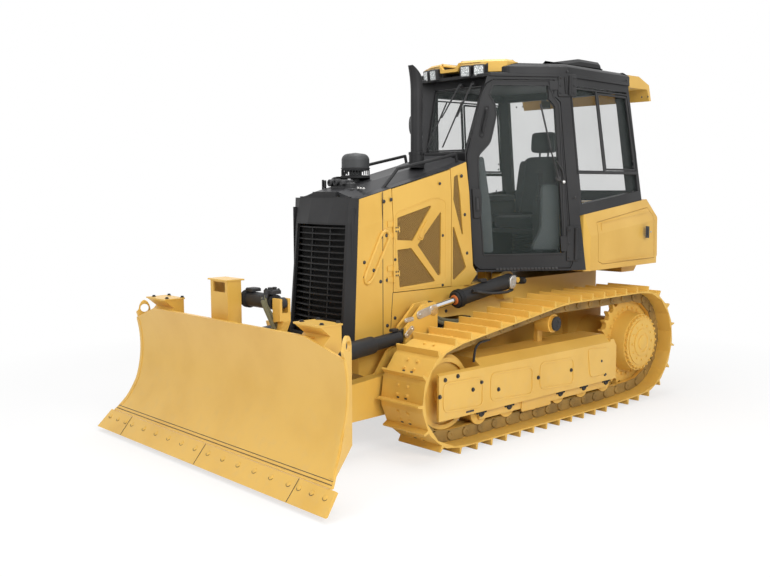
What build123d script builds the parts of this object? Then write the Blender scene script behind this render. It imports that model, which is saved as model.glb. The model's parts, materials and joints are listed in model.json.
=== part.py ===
from build123d import *
import math
import os

# Small crawler dozer with a power-angle-tilt blade and an enclosed cab.
# Millimetres. +X forward, +Y to the machine's left, +Z up, the origin on the ground
# in the middle of the machine's outer box. Every piece is one node in parts/.

os.makedirs("parts", exist_ok=True)

# The sizes below start from a datum a little ahead of the outer box's middle; save() shifts
# every piece forward by this much, which puts the middle on the origin.
DATUM_SHIFT = 14.5

# Clearances
SEAT = 0.3            # between pieces that sit against each other
PIN_RUN = 0.06        # radial clearance of a pin in its eye
SWING = 6.0           # between a door and its frame
RAIL_GAP = 2.0        # between a roller and the links, which bend a little over it

# Track: pins run on a belt line, shoes hang outside it, rails inside it
SHOE_PITCH = 160.0
SHOE_COUNT = 43
SHOE_WIDTH = 406.0
TRACK_GAUGE = 1550.0
GROUSER_HEIGHT = 45.0
GROUSER_TIP = 12.0
GROUSER_ROOT = 24.0
SHOE_PLATE = 10.0
PIN_TO_SHOE = 50.0
PIN_TO_RAIL = 40.0
RAIL_INNER = 30.0
RAIL_WIDTH = 34.0
FIRST_PIN = 40.0      # first pin, behind the idler's lowest point

IDLER_PIN_RADIUS = 305.0
IDLER_START_X = 655.0
SPROCKET_X = -1709.0
SPROCKET_Z = 509.0
SPROCKET_PIN_RADIUS = 385.0
ROLLER_RADIUS = 80.0
ROLLER_FRONT_X = 300.0
ROLLER_REAR_X = -1275.0
ROLLER_COUNT = 6
CARRIER_X = -595.0
CARRIER_Z = 777.0
CARRIER_RADIUS = 75.0

# Track frame
BEAM_OUTER = 150.0    # from the track's middle plane to the cover's face
BEAM_INNER = 150.0
BEAM_BOTTOM_Z = 245.0
BEAM_SHOULDER_Z = 562.0
BEAM_TOP_Z = 622.0
BEAM_SHOULDER = 75.0
BEAM_PLATE = 20.0
BEAM_FRONT_X = 790.0
BEAM_BOX_FRONT_X = 350.0
BEAM_REAR_X = -1262.0
REAR_BLOCK_X = -1352.0

# Main frame and engine
FRAME_HALF = 335.0
FRAME_BOTTOM_Z = 330.0
FRAME_FRONT_X = 1000.0
FRAME_REAR_X = -1900.0
FRAME_TOP_Z = 1080.0

# Hood
HOOD_HALF = 360.0
HOOD_PLATE = 25.0
HOOD_FRONT_X = 1005.0
HOOD_KNEE_X = 100.0
HOOD_REAR_X = -112.0
HOOD_FRONT_Z = 1762.0
HOOD_KNEE_Z = 1977.0
HOOD_REAR_Z = 2040.0
PANEL_BOTTOM_Z = 735.0
SEAM_X = 679.0
DOOR_REAR_X = 70.0
ENGINE_DOOR_BOTTOM_Z = 1085.0

# Cab, plan corners at three heights: the windscreen's corner W, the front post A, the widest
# post B and the rear post C
CAB_FLOOR_Z = 1173.0
CAB_LOWER = 935.0     # from the floor to the knee, where the posts bend
CAB_UPPER = 592.0     # from the knee to the roof
CAB_KNEE_Z = CAB_FLOOR_Z + CAB_LOWER
CAB_TOP_Z = CAB_KNEE_Z + CAB_UPPER
CAB_WALL = 50.0
POST_A = ((-245.0, 350.0), (-155.0, 290.0), (-300.0, 387.0))
POST_B = ((-992.0, 850.0), (-902.0, 790.0), (-845.0, 752.0))
POST_C = ((-2027.0, 801.0), (-1870.0, 743.0), (-1772.0, 706.0))
POST_W = ((-330.0, 240.0), (-232.0, 221.0), (-402.0, 270.0))
GLASS = 6.0
GLASS_DEPTH = 20.0    # a pane's face behind the frame's
ROOF_RISE = 108.0

# Rear boxes and tank
BOX_HALF = 602.0      # the boxes' inner faces
BOX_FRONT_X = -948.0
BOX_FRONT_Z = 1612.0  # the top's front end, under the window sill
BOX_SLOPE = 118.0 / 1062.0
BOX_REAR_X = -2010.0
TANK_FRONT_X = -1901.0

# Blade
BLADE_TOP_Z = 966.0
BLADE_TOP_X = 1922.0
BLADE_MID_X = 1862.0
BLADE_MID_Z = 640.0
EDGE_TOP_X = 2056.0
EDGE_TOP_Z = 154.0
EDGE_TIP_X = 2161.0
EDGE_TIP_Z = 31.0
MOLDBOARD_PLATE = 16.0
EDGE_PLATE = 20.0
BLADE_HALF_TIP = 1376.0
EDGE_HALF_TOP = 1340.0    # the slanted end bits, at their top
BLADE_HALF_FOOT = 1303.0  # the moldboard at its foot, at its waist and at its upper corner
BLADE_HALF_WAIST = 1216.0
BLADE_WAIST_Z = 400.0
BLADE_HALF_TOP = 1222.0
BLADE_CORNER_Z = 862.0
BLADE_FACET_HALF = 890.0
EYE_RADIUS = 31.0
EYE_Z = 932.0
END_PLATE_REAR_X = 1797.0
END_PLATE_Y = 1169.4      # the end plate's middle plane at its rear edge
END_PLATE_SPLAY = 22.8    # degrees

# Linkage pins: place in the side view and the sideways place of each
CFRAME_PIVOT_X = -325.0
CFRAME_PIVOT_Z = 420.0
LIFT_EYE_X = 451.0
LIFT_EYE_Z = 954.0
LIFT_BASE_X = -519.0
LIFT_BASE_Z = 1104.0
LIFT_Y = 490.0
ANGLE_BASE_X = 672.0
ANGLE_BASE_Z = 785.0
ANGLE_BASE_Y = 490.0
ANGLE_EYE_X = 1705.0
ANGLE_EYE_Y = 500.0
ANGLE_EYE_Z = 690.0
SWIVEL_X = 1560.0
BALL_Z = 380.0
TILT_X = 1642.0
TILT_Z = 1085.0
TILT_BASE_Y = 300.0
TILT_EYE_Y = -300.0
PIN_RADIUS = 22.0
BALL_RADIUS = 27.94   # the ball that carries an angle cylinder's rear end, between two lugs
BALL_PIN_RADIUS = 12.0
ANGLE_ROOM_UNDER = 62.0   # room under and over the middle of the angle rod's eye, which rises
ANGLE_ROOM_OVER = 76.0    # and falls as the blade angles and tilts
LUG_GAP_HALF = 28.0
LIFT_PIN_RADIUS = 20.0
PIN_DRIFT = 13.0      # room round a rod's own pin, where the linkage is opened


def side_prism(points, y_low, y_high):
    """A profile of (x, z) points, carried sideways from y_low to y_high."""
    plane = Plane((0, y_low, 0), x_dir=(1, 0, 0), z_dir=(0, -1, 0))
    return extrude(plane * Polygon(*points, align=None), amount=y_high - y_low, dir=(0, 1, 0))


def front_prism(points, x_low, x_high):
    """A profile of (y, z) points, carried forward from x_low to x_high."""
    plane = Plane((x_low, 0, 0), x_dir=(0, 1, 0), z_dir=(1, 0, 0))
    return extrude(plane * Polygon(*points, align=None), amount=x_high - x_low, dir=(1, 0, 0))


def plan_prism(points, z_low, z_high):
    """A profile of (x, y) points, carried up from z_low to z_high."""
    face = Plane((0, 0, z_low)) * Polygon(*points, align=None)
    return extrude(face, amount=z_high - z_low, dir=(0, 0, 1))


def block(x_low, x_high, y_low, y_high, z_low, z_high):
    return Pos((x_low + x_high) / 2, (y_low + y_high) / 2, (z_low + z_high) / 2) * Box(
        x_high - x_low, y_high - y_low, z_high - z_low)


def bar(start, end, radius):
    """A round bar from start to end."""
    start, end = Vector(*start), Vector(*end)
    plane = Plane(start, z_dir=end - start)
    return extrude(plane * Circle(radius), amount=(end - start).length)


def pin_y(x, z, y_low, y_high, radius):
    return bar((x, y_low, z), (x, y_high, z), radius)


def mirrored(shape):
    return mirror(shape, about=Plane.XZ)


def save(name, *shapes):
    """Writes one node. Like pieces on one body are separate solids of the same node."""
    solids = [Pos(DATUM_SHIFT, 0, 0) * solid for shape in shapes for solid in shape.solids()]
    export_step(solids[0] if len(solids) == 1 else Compound(children=solids), f"parts/{name}.step")


# The track's belt line

def belt_pieces(circles):
    """Straight runs and arcs of a belt that turns clockwise, seen from the right, round circles
    of (x, z, radius). Each piece is (length, kind, data)."""
    runs = []
    for (x1, z1, r1), (x2, z2, r2) in zip(circles, circles[1:] + circles[:1]):
        span = math.hypot(x2 - x1, z2 - z1)
        heading = math.atan2(z2 - z1, x2 - x1) + math.asin((r2 - r1) / span)
        normal = (-math.sin(heading), math.cos(heading))
        start = (x1 + r1 * normal[0], z1 + r1 * normal[1])
        end = (x2 + r2 * normal[0], z2 + r2 * normal[1])
        runs.append((heading, start, end))
    pieces = []
    for index, (heading, start, end) in enumerate(runs):
        x, z, radius = circles[index]
        turn = (runs[index - 1][0] - heading) % (2 * math.pi)
        pieces.append((turn * radius, "arc", (x, z, radius, runs[index - 1][0] + math.pi / 2)))
        pieces.append((math.dist(start, end), "run", (start, end)))
    return pieces


def belt_length(pieces):
    return sum(piece[0] for piece in pieces)


def belt_point(pieces, along):
    """The point at a distance along the belt."""
    along = along % belt_length(pieces)
    for length, kind, data in pieces:
        if along <= length:
            break
        along -= length
    if kind == "arc":
        x, z, radius, first = data
        angle = first - along / radius
        return (x + radius * math.cos(angle), z + radius * math.sin(angle))
    start, end = data
    share = along / length
    return (start[0] + (end[0] - start[0]) * share, start[1] + (end[1] - start[1]) * share)


GROUND_TO_PIN = GROUSER_HEIGHT + SHOE_PLATE + PIN_TO_SHOE


def track_circles(idler_x):
    """Idler, last roller, sprocket and carrier roller, in the order of travel."""
    return [
        (idler_x, GROUND_TO_PIN + IDLER_PIN_RADIUS, IDLER_PIN_RADIUS),
        (ROLLER_REAR_X, GROUND_TO_PIN + PIN_TO_RAIL + ROLLER_RADIUS, PIN_TO_RAIL + ROLLER_RADIUS),
        (SPROCKET_X, SPROCKET_Z, SPROCKET_PIN_RADIUS),
        (CARRIER_X, CARRIER_Z, CARRIER_RADIUS + PIN_TO_RAIL),
    ]


def tensioned_idler():
    """The idler's place at which the belt is a whole number of shoes long."""
    low, high = IDLER_START_X - 400, IDLER_START_X + 400
    for _ in range(60):
        middle = (low + high) / 2
        if belt_length(belt_pieces(track_circles(middle))) < SHOE_PITCH * SHOE_COUNT:
            low = middle
        else:
            high = middle
    return (low + high) / 2


IDLER_X = tensioned_idler()
IDLER_Z = GROUND_TO_PIN + IDLER_PIN_RADIUS
BELT = belt_pieces(track_circles(IDLER_X))
TRACK_Y = TRACK_GAUGE / 2


def track_pins():
    first = BELT[0][0] + FIRST_PIN
    return [belt_point(BELT, first + index * SHOE_PITCH) for index in range(SHOE_COUNT)]


def ring(pins, offsets):
    """A closed outline: for each link, points at (share of the link, distance outside the pins)."""
    outline = []
    for (x1, z1), (x2, z2) in zip(pins, pins[1:] + pins[:1]):
        length = math.hypot(x2 - x1, z2 - z1)
        along = ((x2 - x1) / length, (z2 - z1) / length)
        outward = (-along[1], along[0])
        for run, rise in offsets(length):
            outline.append((x1 + along[0] * run + outward[0] * rise,
                            z1 + along[1] * run + outward[1] * rise))
    return outline


def track(side):
    """One closed loop: shoes with their grousers over two link rails."""
    pins = track_pins()
    plate_in = PIN_TO_SHOE
    plate_out = plate_in + SHOE_PLATE
    tip = plate_out + GROUSER_HEIGHT
    lean = (GROUSER_ROOT - GROUSER_TIP) / 2

    def shoe(length):
        return [(4, plate_out), (length - GROUSER_ROOT - 2, plate_out),
                (length - GROUSER_ROOT - 2 + lean, tip), (length - 2 - lean, tip),
                (length - 2, plate_out)]

    centre = side * TRACK_Y
    shoes = side_prism(ring(pins, shoe), centre - SHOE_WIDTH / 2, centre + SHOE_WIDTH / 2)
    shoes -= side_prism(ring(pins, lambda length: [(length / 2, plate_in)]),
                        centre - SHOE_WIDTH, centre + SHOE_WIDTH)
    body = shoes
    for inner in (RAIL_INNER, -RAIL_INNER - RAIL_WIDTH):
        rail = side_prism(ring(pins, lambda length: [(length / 2, plate_in + 2)]),
                          centre + inner, centre + inner + RAIL_WIDTH)
        rail -= side_prism(ring(pins, lambda length: [(0, -PIN_TO_RAIL)]),
                           centre + inner - 1, centre + inner + RAIL_WIDTH + 1)
        body += rail
    return body


# Wheels

def idler(side):
    centre = side * TRACK_Y
    tread = math.sqrt(IDLER_PIN_RADIUS ** 2 - (SHOE_PITCH / 2) ** 2) - PIN_TO_RAIL - SEAT
    half = RAIL_INNER + RAIL_WIDTH
    wheel = pin_y(IDLER_X, IDLER_Z, centre - half, centre + half, tread)
    wheel += pin_y(IDLER_X, IDLER_Z, centre - RAIL_INNER + 4, centre + RAIL_INNER - 4, tread + 26)
    for face in (-half, half - 22):
        wheel -= (pin_y(IDLER_X, IDLER_Z, centre + face, centre + face + 22, tread - 32)
                  - pin_y(IDLER_X, IDLER_Z, centre + face, centre + face + 22, 90))
    axle = pin_y(IDLER_X, IDLER_Z, centre - BEAM_INNER + BEAM_PLATE + SEAT,
                 centre + BEAM_OUTER - BEAM_PLATE - SEAT, 45)
    return wheel + axle


def sprocket(side):
    """A toothed ring whose teeth stand up between the pins."""
    centre = side * TRACK_Y
    teeth = round(2 * math.pi * SPROCKET_PIN_RADIUS / SHOE_PITCH) * 2 - 1
    outline = []
    for index in range(teeth):
        for share, radius in ((0.0, -22), (0.3, -12), (0.42, 24), (0.58, 24), (0.7, -12)):
            angle = 2 * math.pi * (index + share) / teeth
            reach = SPROCKET_PIN_RADIUS + radius - 8
            outline.append((SPROCKET_X + reach * math.cos(angle), SPROCKET_Z + reach * math.sin(angle)))
    disc = side_prism(outline, centre - RAIL_INNER + 8, centre + RAIL_INNER - 8)
    return disc - pin_y(SPROCKET_X, SPROCKET_Z, centre - RAIL_INNER, centre + RAIL_INNER,
                        DRUM_RADIUS + SEAT)


DRUM_RADIUS = 262.0
HUB_COVER_RADIUS = 234.0
HUB_COVER_Y = 947.0
HUB_LOBES = 28
AXLE_RADIUS = 190.0


def final_drive():
    """Axle housing, drum and the lobed hub cover of the left side."""
    disc_in = TRACK_Y - RAIL_INNER + 8
    disc_out = TRACK_Y + RAIL_INNER - 8
    cover_in = HUB_COVER_Y - 26
    body = pin_y(SPROCKET_X, SPROCKET_Z, FRAME_HALF + 60 + SEAT, disc_in - 40, AXLE_RADIUS)
    body += pin_y(SPROCKET_X, SPROCKET_Z, disc_in - 40, disc_in - SEAT, DRUM_RADIUS + 42)
    body += pin_y(SPROCKET_X, SPROCKET_Z, disc_in - SEAT, disc_out + 4, DRUM_RADIUS)
    cone = Plane((SPROCKET_X, disc_out + 4, SPROCKET_Z), z_dir=(0, 1, 0))
    body += extrude(cone * Circle(DRUM_RADIUS), amount=cover_in - disc_out - 4, taper=9)
    cover = pin_y(SPROCKET_X, SPROCKET_Z, cover_in, HUB_COVER_Y - 8, HUB_COVER_RADIUS - 14)
    for index in range(HUB_LOBES):
        angle = 2 * math.pi * index / HUB_LOBES
        reach = HUB_COVER_RADIUS - 12
        cover += pin_y(SPROCKET_X + reach * math.cos(angle), SPROCKET_Z + reach * math.sin(angle),
                       cover_in, HUB_COVER_Y - 8, 12)
    cover += pin_y(SPROCKET_X, SPROCKET_Z, HUB_COVER_Y - 8, HUB_COVER_Y, HUB_COVER_RADIUS - 40)
    return body + cover


def track_roller_places():
    step = (ROLLER_FRONT_X - ROLLER_REAR_X) / (ROLLER_COUNT - 1)
    return [ROLLER_FRONT_X - index * step for index in range(ROLLER_COUNT)]


ROLLER_Z = GROUND_TO_PIN + PIN_TO_RAIL + ROLLER_RADIUS


def track_roller(x, side):
    """One roller with its flanges and its collars under the beam."""
    centre = side * TRACK_Y
    half = RAIL_INNER + RAIL_WIDTH
    body = pin_y(x, ROLLER_Z, centre - half, centre + half, ROLLER_RADIUS - RAIL_GAP)
    for face in (half + 2, -half - 20):
        body += pin_y(x, ROLLER_Z, centre + face, centre + face + 18, ROLLER_RADIUS + 12)
    body += pin_y(x, ROLLER_Z, centre - half - 42, centre + half + 42, 34)
    return body


def carrier_roller(side):
    centre = side * TRACK_Y
    half = RAIL_INNER + RAIL_WIDTH
    body = pin_y(CARRIER_X, CARRIER_Z, centre - half, centre + half, CARRIER_RADIUS - RAIL_GAP)
    body += pin_y(CARRIER_X, CARRIER_Z, centre + half, centre + half + 24, CARRIER_RADIUS - 16)
    body += block(CARRIER_X - 30, CARRIER_X + 30, centre - half - 40, centre - half - 2,
                  BEAM_TOP_Z + SEAT, CARRIER_Z + 40)
    body += pin_y(CARRIER_X, CARRIER_Z, centre - half - 10, centre - half, 30)
    return body


def track_frame(side):
    """Box beam with a folded shoulder, forked round the idler, open below for the rollers."""
    centre = side * TRACK_Y
    outer, inner = centre + side * BEAM_OUTER, centre - side * BEAM_INNER
    shoulder = centre + side * BEAM_SHOULDER
    section = [(inner, BEAM_BOTTOM_Z), (outer, BEAM_BOTTOM_Z), (outer, BEAM_SHOULDER_Z),
               (shoulder, BEAM_TOP_Z), (inner, BEAM_TOP_Z)]
    beam = front_prism(section, BEAM_REAR_X, BEAM_FRONT_X)
    fork = block(BEAM_BOX_FRONT_X, BEAM_FRONT_X + 1, centre - BEAM_INNER + BEAM_PLATE,
                 centre + BEAM_OUTER - BEAM_PLATE, 0, 1000)
    beam -= fork
    low, high = sorted((centre + side * 72, outer))
    beam += side_prism([(BEAM_REAR_X, BEAM_BOTTOM_Z), (BEAM_REAR_X, BEAM_SHOULDER_Z + 20),
                        (REAR_BLOCK_X + 40, BEAM_SHOULDER_Z + 20), (REAR_BLOCK_X, BEAM_SHOULDER_Z - 40),
                        (REAR_BLOCK_X, BEAM_BOTTOM_Z)], low, high)
    for x in track_roller_places():
        beam -= block(x - ROLLER_RADIUS - 22, x + ROLLER_RADIUS + 22, centre - 110, centre + 110,
                      BEAM_BOTTOM_Z - 1, ROLLER_Z + ROLLER_RADIUS + 20)
    for y in (centre + 90, centre - 106):
        guard = block(ROLLER_REAR_X - 20, ROLLER_FRONT_X + 20, y, y + 16, 175, BEAM_BOTTOM_Z)
        for x in track_roller_places():
            guard -= pin_y(x, ROLLER_Z, y - 5, y + 21, 34 + SEAT)
        beam += guard
    return beam


# Main frame, engine, radiator and drawbar

def main_frame():
    """Belly box with the rear case, the C-frame's pivots, the cross beams to the track frames,
    the brackets of the lift cylinders, the cab's mounts and the hood's firewall."""
    hull = [(FRAME_FRONT_X, 520), (FRAME_FRONT_X, 700), (-60, 700), (HOOD_REAR_X + 22, 760),
            (HOOD_REAR_X + 22, FRAME_TOP_Z), (FRAME_REAR_X, FRAME_TOP_Z), (FRAME_REAR_X, 520),
            (-1700, FRAME_BOTTOM_Z), (600, FRAME_BOTTOM_Z), (760, 420)]
    frame = side_prism(hull, -FRAME_HALF, FRAME_HALF)
    frame -= side_prism([(700, 701), (700, 600), (-20, 600), (-20, 701)], -260, 260)
    frame += block(FRAME_REAR_X, -1400, -FRAME_HALF - 60, FRAME_HALF + 60, 360, 900)
    frame += firewall()
    for mount in cab_mounts():
        frame += mount
    beam_reach = TRACK_Y - BEAM_INNER - SEAT
    for x in (-560, -1130):
        frame += block(x - 60, x + 60, -beam_reach, beam_reach, 420, 540)
    for side in (1, -1):
        for y_near, y_far, radius in ((FRAME_HALF, 432, 80), (432, 552, 40)):
            low, high = sorted((side * y_near, side * y_far))
            frame += pin_y(CFRAME_PIVOT_X, CFRAME_PIVOT_Z, low, high, radius)
        # hanger plate inside each lift cylinder, and the pin through the cylinder's eye
        low, high = sorted((side * FRAME_HALF, side * (LIFT_Y - 70)))
        frame += side_prism([(-640, FRAME_TOP_Z - 1), (-640, 960), (-500, 940), (-430, 1040), (-440, 1150),
                             (-480, 1166), (-560, 1166), (-600, 1140)], low, high)
        low, high = sorted((side * (LIFT_Y - 70), side * (LIFT_Y + 52)))
        frame += pin_y(LIFT_BASE_X, LIFT_BASE_Z, low, high, PIN_RADIUS)
    return frame


def drawbar():
    """Rear hitch: two plates with a pin bore."""
    body = block(FRAME_REAR_X - 120, FRAME_REAR_X - SEAT, -150, 150, 430, 620)
    for z in (430, 580):
        plate = plan_prism([(FRAME_REAR_X - 120, -90), (FRAME_REAR_X - 200, -60), (FRAME_REAR_X - 200, 60),
                            (FRAME_REAR_X - 120, 90)], z, z + 40)
        body += plate
    bore = bar((FRAME_REAR_X - 160, 0, 400), (FRAME_REAR_X - 160, 0, 640), 22)
    return body - bore


def firewall():
    """Plate across the frame that carries the hood's rear end."""
    return block(HOOD_REAR_X, HOOD_REAR_X + 22, -HOOD_HALF + HOOD_PLATE + SEAT, HOOD_HALF - HOOD_PLATE - SEAT,
                 FRAME_TOP_Z, crease_z(HOOD_REAR_X) - 30)


def cab_mounts():
    """Four blocks under the cab's floor."""
    return [block(x - 40, x + 40, low, low + 80, FRAME_TOP_Z - 1, CAB_FLOOR_Z)
            for x in (-460, -1700) for low in (-280, 200)]


def engine_block():
    body = block(-15, 690, -200, 200, 600 + SEAT, 1120)
    body += block(0, 640, -120, 150, 1120, 1560)
    return body


def radiator_core():
    """Radiator block that carries the nose and the front side panels."""
    front, half = 950, HOOD_HALF - HOOD_PLATE - SEAT
    shoulder = crease_z(front) - 10
    body = block(front - 70, front, -half, half, 700 + SEAT, shoulder)
    return body + block(front - 70, front, -half + 25, half - 25, shoulder, hood_line(front) - 40)


# Hood

def hood_line(x):
    """Height of the hood's side edge at x."""
    if x > HOOD_KNEE_X:
        share = (x - HOOD_KNEE_X) / (HOOD_FRONT_X - HOOD_KNEE_X)
        return HOOD_KNEE_Z + (HOOD_FRONT_Z - HOOD_KNEE_Z) * share
    share = (x - HOOD_KNEE_X) / (HOOD_REAR_X - HOOD_KNEE_X)
    return HOOD_KNEE_Z + (HOOD_REAR_Z - HOOD_KNEE_Z) * share


# Crown of the hood: sideways place and height over the side edge
HOOD_CROWN = ((0, 50), (130, 50), (277, 8))
HOOD_EDGE_HALF = 343.0
CREASE_FRONT_Z = 1630.0
CREASE_SLOPE = 0.21


HOOD_LIP = 4.0
HOOD_LIP_HALF = 312.0


def hood_section(x, half):
    """The hood top's cross-section: a crown in three facets whose lips lie over the side panels."""
    level = hood_line(x)
    lip = half - (HOOD_EDGE_HALF - HOOD_LIP_HALF)
    upper = [(half, level), (HOOD_CROWN[2][0], level + HOOD_CROWN[2][1]),
             (HOOD_CROWN[1][0], level + HOOD_CROWN[1][1])]
    lower = [(HOOD_CROWN[1][0], level + HOOD_CROWN[1][1] - HOOD_PLATE),
             (min(HOOD_CROWN[2][0], lip) - 6, level + HOOD_CROWN[2][1] - HOOD_PLATE),
             (lip, level + HOOD_CROWN[2][1] - HOOD_PLATE), (lip, level - HOOD_LIP), (half, level - HOOD_LIP)]
    half_section = upper + [(0, level + HOOD_CROWN[1][1])]
    right = [(-y, z) for y, z in reversed(upper)]
    below = [(-y, z) for y, z in reversed(lower)] + lower
    plane = Plane((x, 0, 0), x_dir=(0, 1, 0), z_dir=(1, 0, 0))
    return plane * Polygon(*(half_section + right + below), align=None)


def above_hood(clearance):
    """All the space over the hood top, wider than the hood, used to trim what stands on it."""
    faces = []
    for x in (HOOD_REAR_X - 60, HOOD_KNEE_X, HOOD_FRONT_X + 60):
        level = hood_line(x) + clearance
        points = [(500, level), (HOOD_EDGE_HALF, level), (HOOD_CROWN[2][0], level + HOOD_CROWN[2][1]),
                  (HOOD_CROWN[1][0], level + HOOD_CROWN[1][1])]
        points += [(-y, z) for y, z in reversed(points)] + [(-500, 3000), (500, 3000)]
        plane = Plane((x, 0, 0), x_dir=(0, 1, 0), z_dir=(1, 0, 0))
        faces.append(plane * Polygon(*points, align=None))
    return loft(faces[:2], ruled=True) + loft(faces[1:], ruled=True)


def hood_top():
    """Black hood top in three facets, rising towards the cab."""
    ends = [(HOOD_FRONT_X, HOOD_KNEE_X), (HOOD_KNEE_X, HOOD_REAR_X)]
    parts = [loft([hood_section(x, HOOD_EDGE_HALF) for x in end], ruled=True) for end in ends]
    return parts[0] + parts[1]


def crease_z(x):
    return CREASE_FRONT_Z + (SEAM_X - x) * CREASE_SLOPE


def skin(outline, depth=HOOD_PLATE):
    """A left side panel of the hood: upright below the crease, leaning in above it."""
    lean = HOOD_HALF - HOOD_EDGE_HALF
    solid = side_prism(outline, 200, HOOD_HALF)
    ends = (1200.0, -400.0)
    cutter = []
    for x in ends:
        crease = crease_z(x)
        rise = hood_line(x) - crease
        plane = Plane((x, 0, 0), x_dir=(0, 1, 0), z_dir=(1, 0, 0))
        cutter.append(plane * Polygon((HOOD_HALF, crease), (HOOD_HALF - 2 * lean, crease + 2 * rise),
                                      (HOOD_HALF + 60, crease + 2 * rise), (HOOD_HALF + 60, crease),
                                      align=None))
    solid -= loft(cutter, ruled=True)
    return solid - Pos(0, -depth, 0) * solid


def nose_seam(z):
    """Where the black cowl ends and the yellow side panel begins."""
    return HOOD_FRONT_X + 2 + (HOOD_FRONT_Z - z) * 0.048


def front_side_panel():
    """Fixed panel behind the cowl, with the low apron under the engine door."""
    top = HOOD_LIP + SEAT
    under_door = ENGINE_DOOR_BOTTOM_Z - SWING
    outline = [(nose_seam(PANEL_BOTTOM_Z), PANEL_BOTTOM_Z),
               (nose_seam(HOOD_FRONT_Z - top), HOOD_FRONT_Z - top),
               (HOOD_FRONT_X, hood_line(HOOD_FRONT_X) - top),
               (SEAM_X + SWING, hood_line(SEAM_X + SWING) - top), (SEAM_X + SWING, under_door),
               (HOOD_REAR_X + 30, under_door), (HOOD_REAR_X + 30, PANEL_BOTTOM_Z + 115),
               (330, PANEL_BOTTOM_Z + 115), (430, PANEL_BOTTOM_Z)]
    return skin(outline) + engine_hinge(False)


WINDOW_M1 = ((639, 1623), (279, 1711), (481, 1452), (640, 1462))
WINDOW_M2 = ((640, 1391), (498, 1398), (238, 1134), (618, 1115))
WINDOW_M3 = ((182, 1665), (434, 1418), (214, 1176), (186, 1180))
WINDOW_M4 = ((52, 1570), (-103, 1221), (-90, 1205), (29, 1129), (50, 1140))
WINDOW_M5 = ((31, 1920), (-10, 1941), (-72, 1420), (50, 1751))
MESH_RECESS = 14.0


def sunk_windows(panel, windows, depth=HOOD_PLATE):
    """Windows sunk into a side panel, each closed by a mesh plate at the back."""
    for window in windows:
        plane = Plane((0, HOOD_HALF + 5, 0), x_dir=(1, 0, 0), z_dir=(0, -1, 0))
        face = plane * Polygon(*window, align=None)
        face = fillet(face.vertices(), 8)
        panel -= extrude(face, amount=MESH_RECESS + 5, dir=(0, -1, 0))
    return panel


DOOR_HINGE_OUT = 12.0     # the engine door's hinge pins, outside the panel
DOOR_PIN_RADIUS = 5.0
DOOR_KNUCKLE_RADIUS = 9.0
DOOR_HINGES_Z = (1220.0, 1540.0)
KNUCKLE_LENGTH = 40.0
LEAF_REACH = 60.0
KNUCKLE_RUN = 1.0         # between two knuckles of a hinge


def engine_hinge(moving):
    """One side's leaves of the engine door's hinges: the fixed ones hold the pins."""
    x, y = SEAM_X + SWING / 2, HOOD_HALF + DOOR_HINGE_OUT
    leaves = None
    for z in DOOR_HINGES_Z:
        if moving:
            low, high = z - KNUCKLE_LENGTH / 2, z + KNUCKLE_LENGTH / 2
            piece = bar((x, y, low), (x, y, high), DOOR_KNUCKLE_RADIUS)
            piece += block(x - LEAF_REACH, x - 4, HOOD_HALF - 1, HOOD_HALF + 8, low, high)
            piece -= bar((x, y, z - KNUCKLE_LENGTH), (x, y, z + KNUCKLE_LENGTH), DOOR_PIN_RADIUS + PIN_RUN)
        else:
            reach = KNUCKLE_LENGTH * 1.5
            piece = bar((x, y, z - reach), (x, y, z + reach), DOOR_PIN_RADIUS)
            for low in (z - reach, z + KNUCKLE_LENGTH / 2 + KNUCKLE_RUN):
                high = low + KNUCKLE_LENGTH - KNUCKLE_RUN
                piece += bar((x, y, low), (x, y, high), DOOR_KNUCKLE_RADIUS)
                piece += block(x + 4, x + LEAF_REACH, HOOD_HALF - 1, HOOD_HALF + 8, low, high)
        leaves = piece if leaves is None else leaves + piece
    return leaves


def engine_door():
    top = HOOD_LIP + 5
    outline = [(SEAM_X, ENGINE_DOOR_BOTTOM_Z), (SEAM_X, hood_line(SEAM_X) - top),
               (HOOD_KNEE_X, HOOD_KNEE_Z - top), (DOOR_REAR_X, hood_line(DOOR_REAR_X) - top),
               (DOOR_REAR_X, ENGINE_DOOR_BOTTOM_Z)]
    panel = sunk_windows(skin(outline), (WINDOW_M1, WINDOW_M2, WINDOW_M3))
    handle = side_prism([(420, 1500), (340, 1600), (325, 1585), (400, 1485)], HOOD_HALF - 2, HOOD_HALF + 8)
    return panel + handle + engine_hinge(True)


def rear_side_panel():
    """Fixed panel between the engine door and the cab."""
    top = HOOD_LIP + SEAT
    front = DOOR_REAR_X - SWING
    outline = [(front, FRAME_TOP_Z + SEAT), (front, hood_line(front) - top),
               (HOOD_REAR_X, hood_line(HOOD_REAR_X) - top), (-182, 1224), (-232, 1160),
               (-150, FRAME_TOP_Z + SEAT)]
    return sunk_windows(skin(outline), (WINDOW_M4, WINDOW_M5))


GRILLE_LOW_Z = 790.0
GRILLE_HIGH_Z = 1580.0
GRILLE_LOW_HALF = 285.0
GRILLE_HIGH_HALF = 272.0


def grille_half(z):
    """Half width of the grille's opening at a height."""
    share = (z - GRILLE_LOW_Z) / (GRILLE_HIGH_Z - GRILLE_LOW_Z)
    return GRILLE_LOW_HALF + (GRILLE_HIGH_HALF - GRILLE_LOW_HALF) * share


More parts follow.
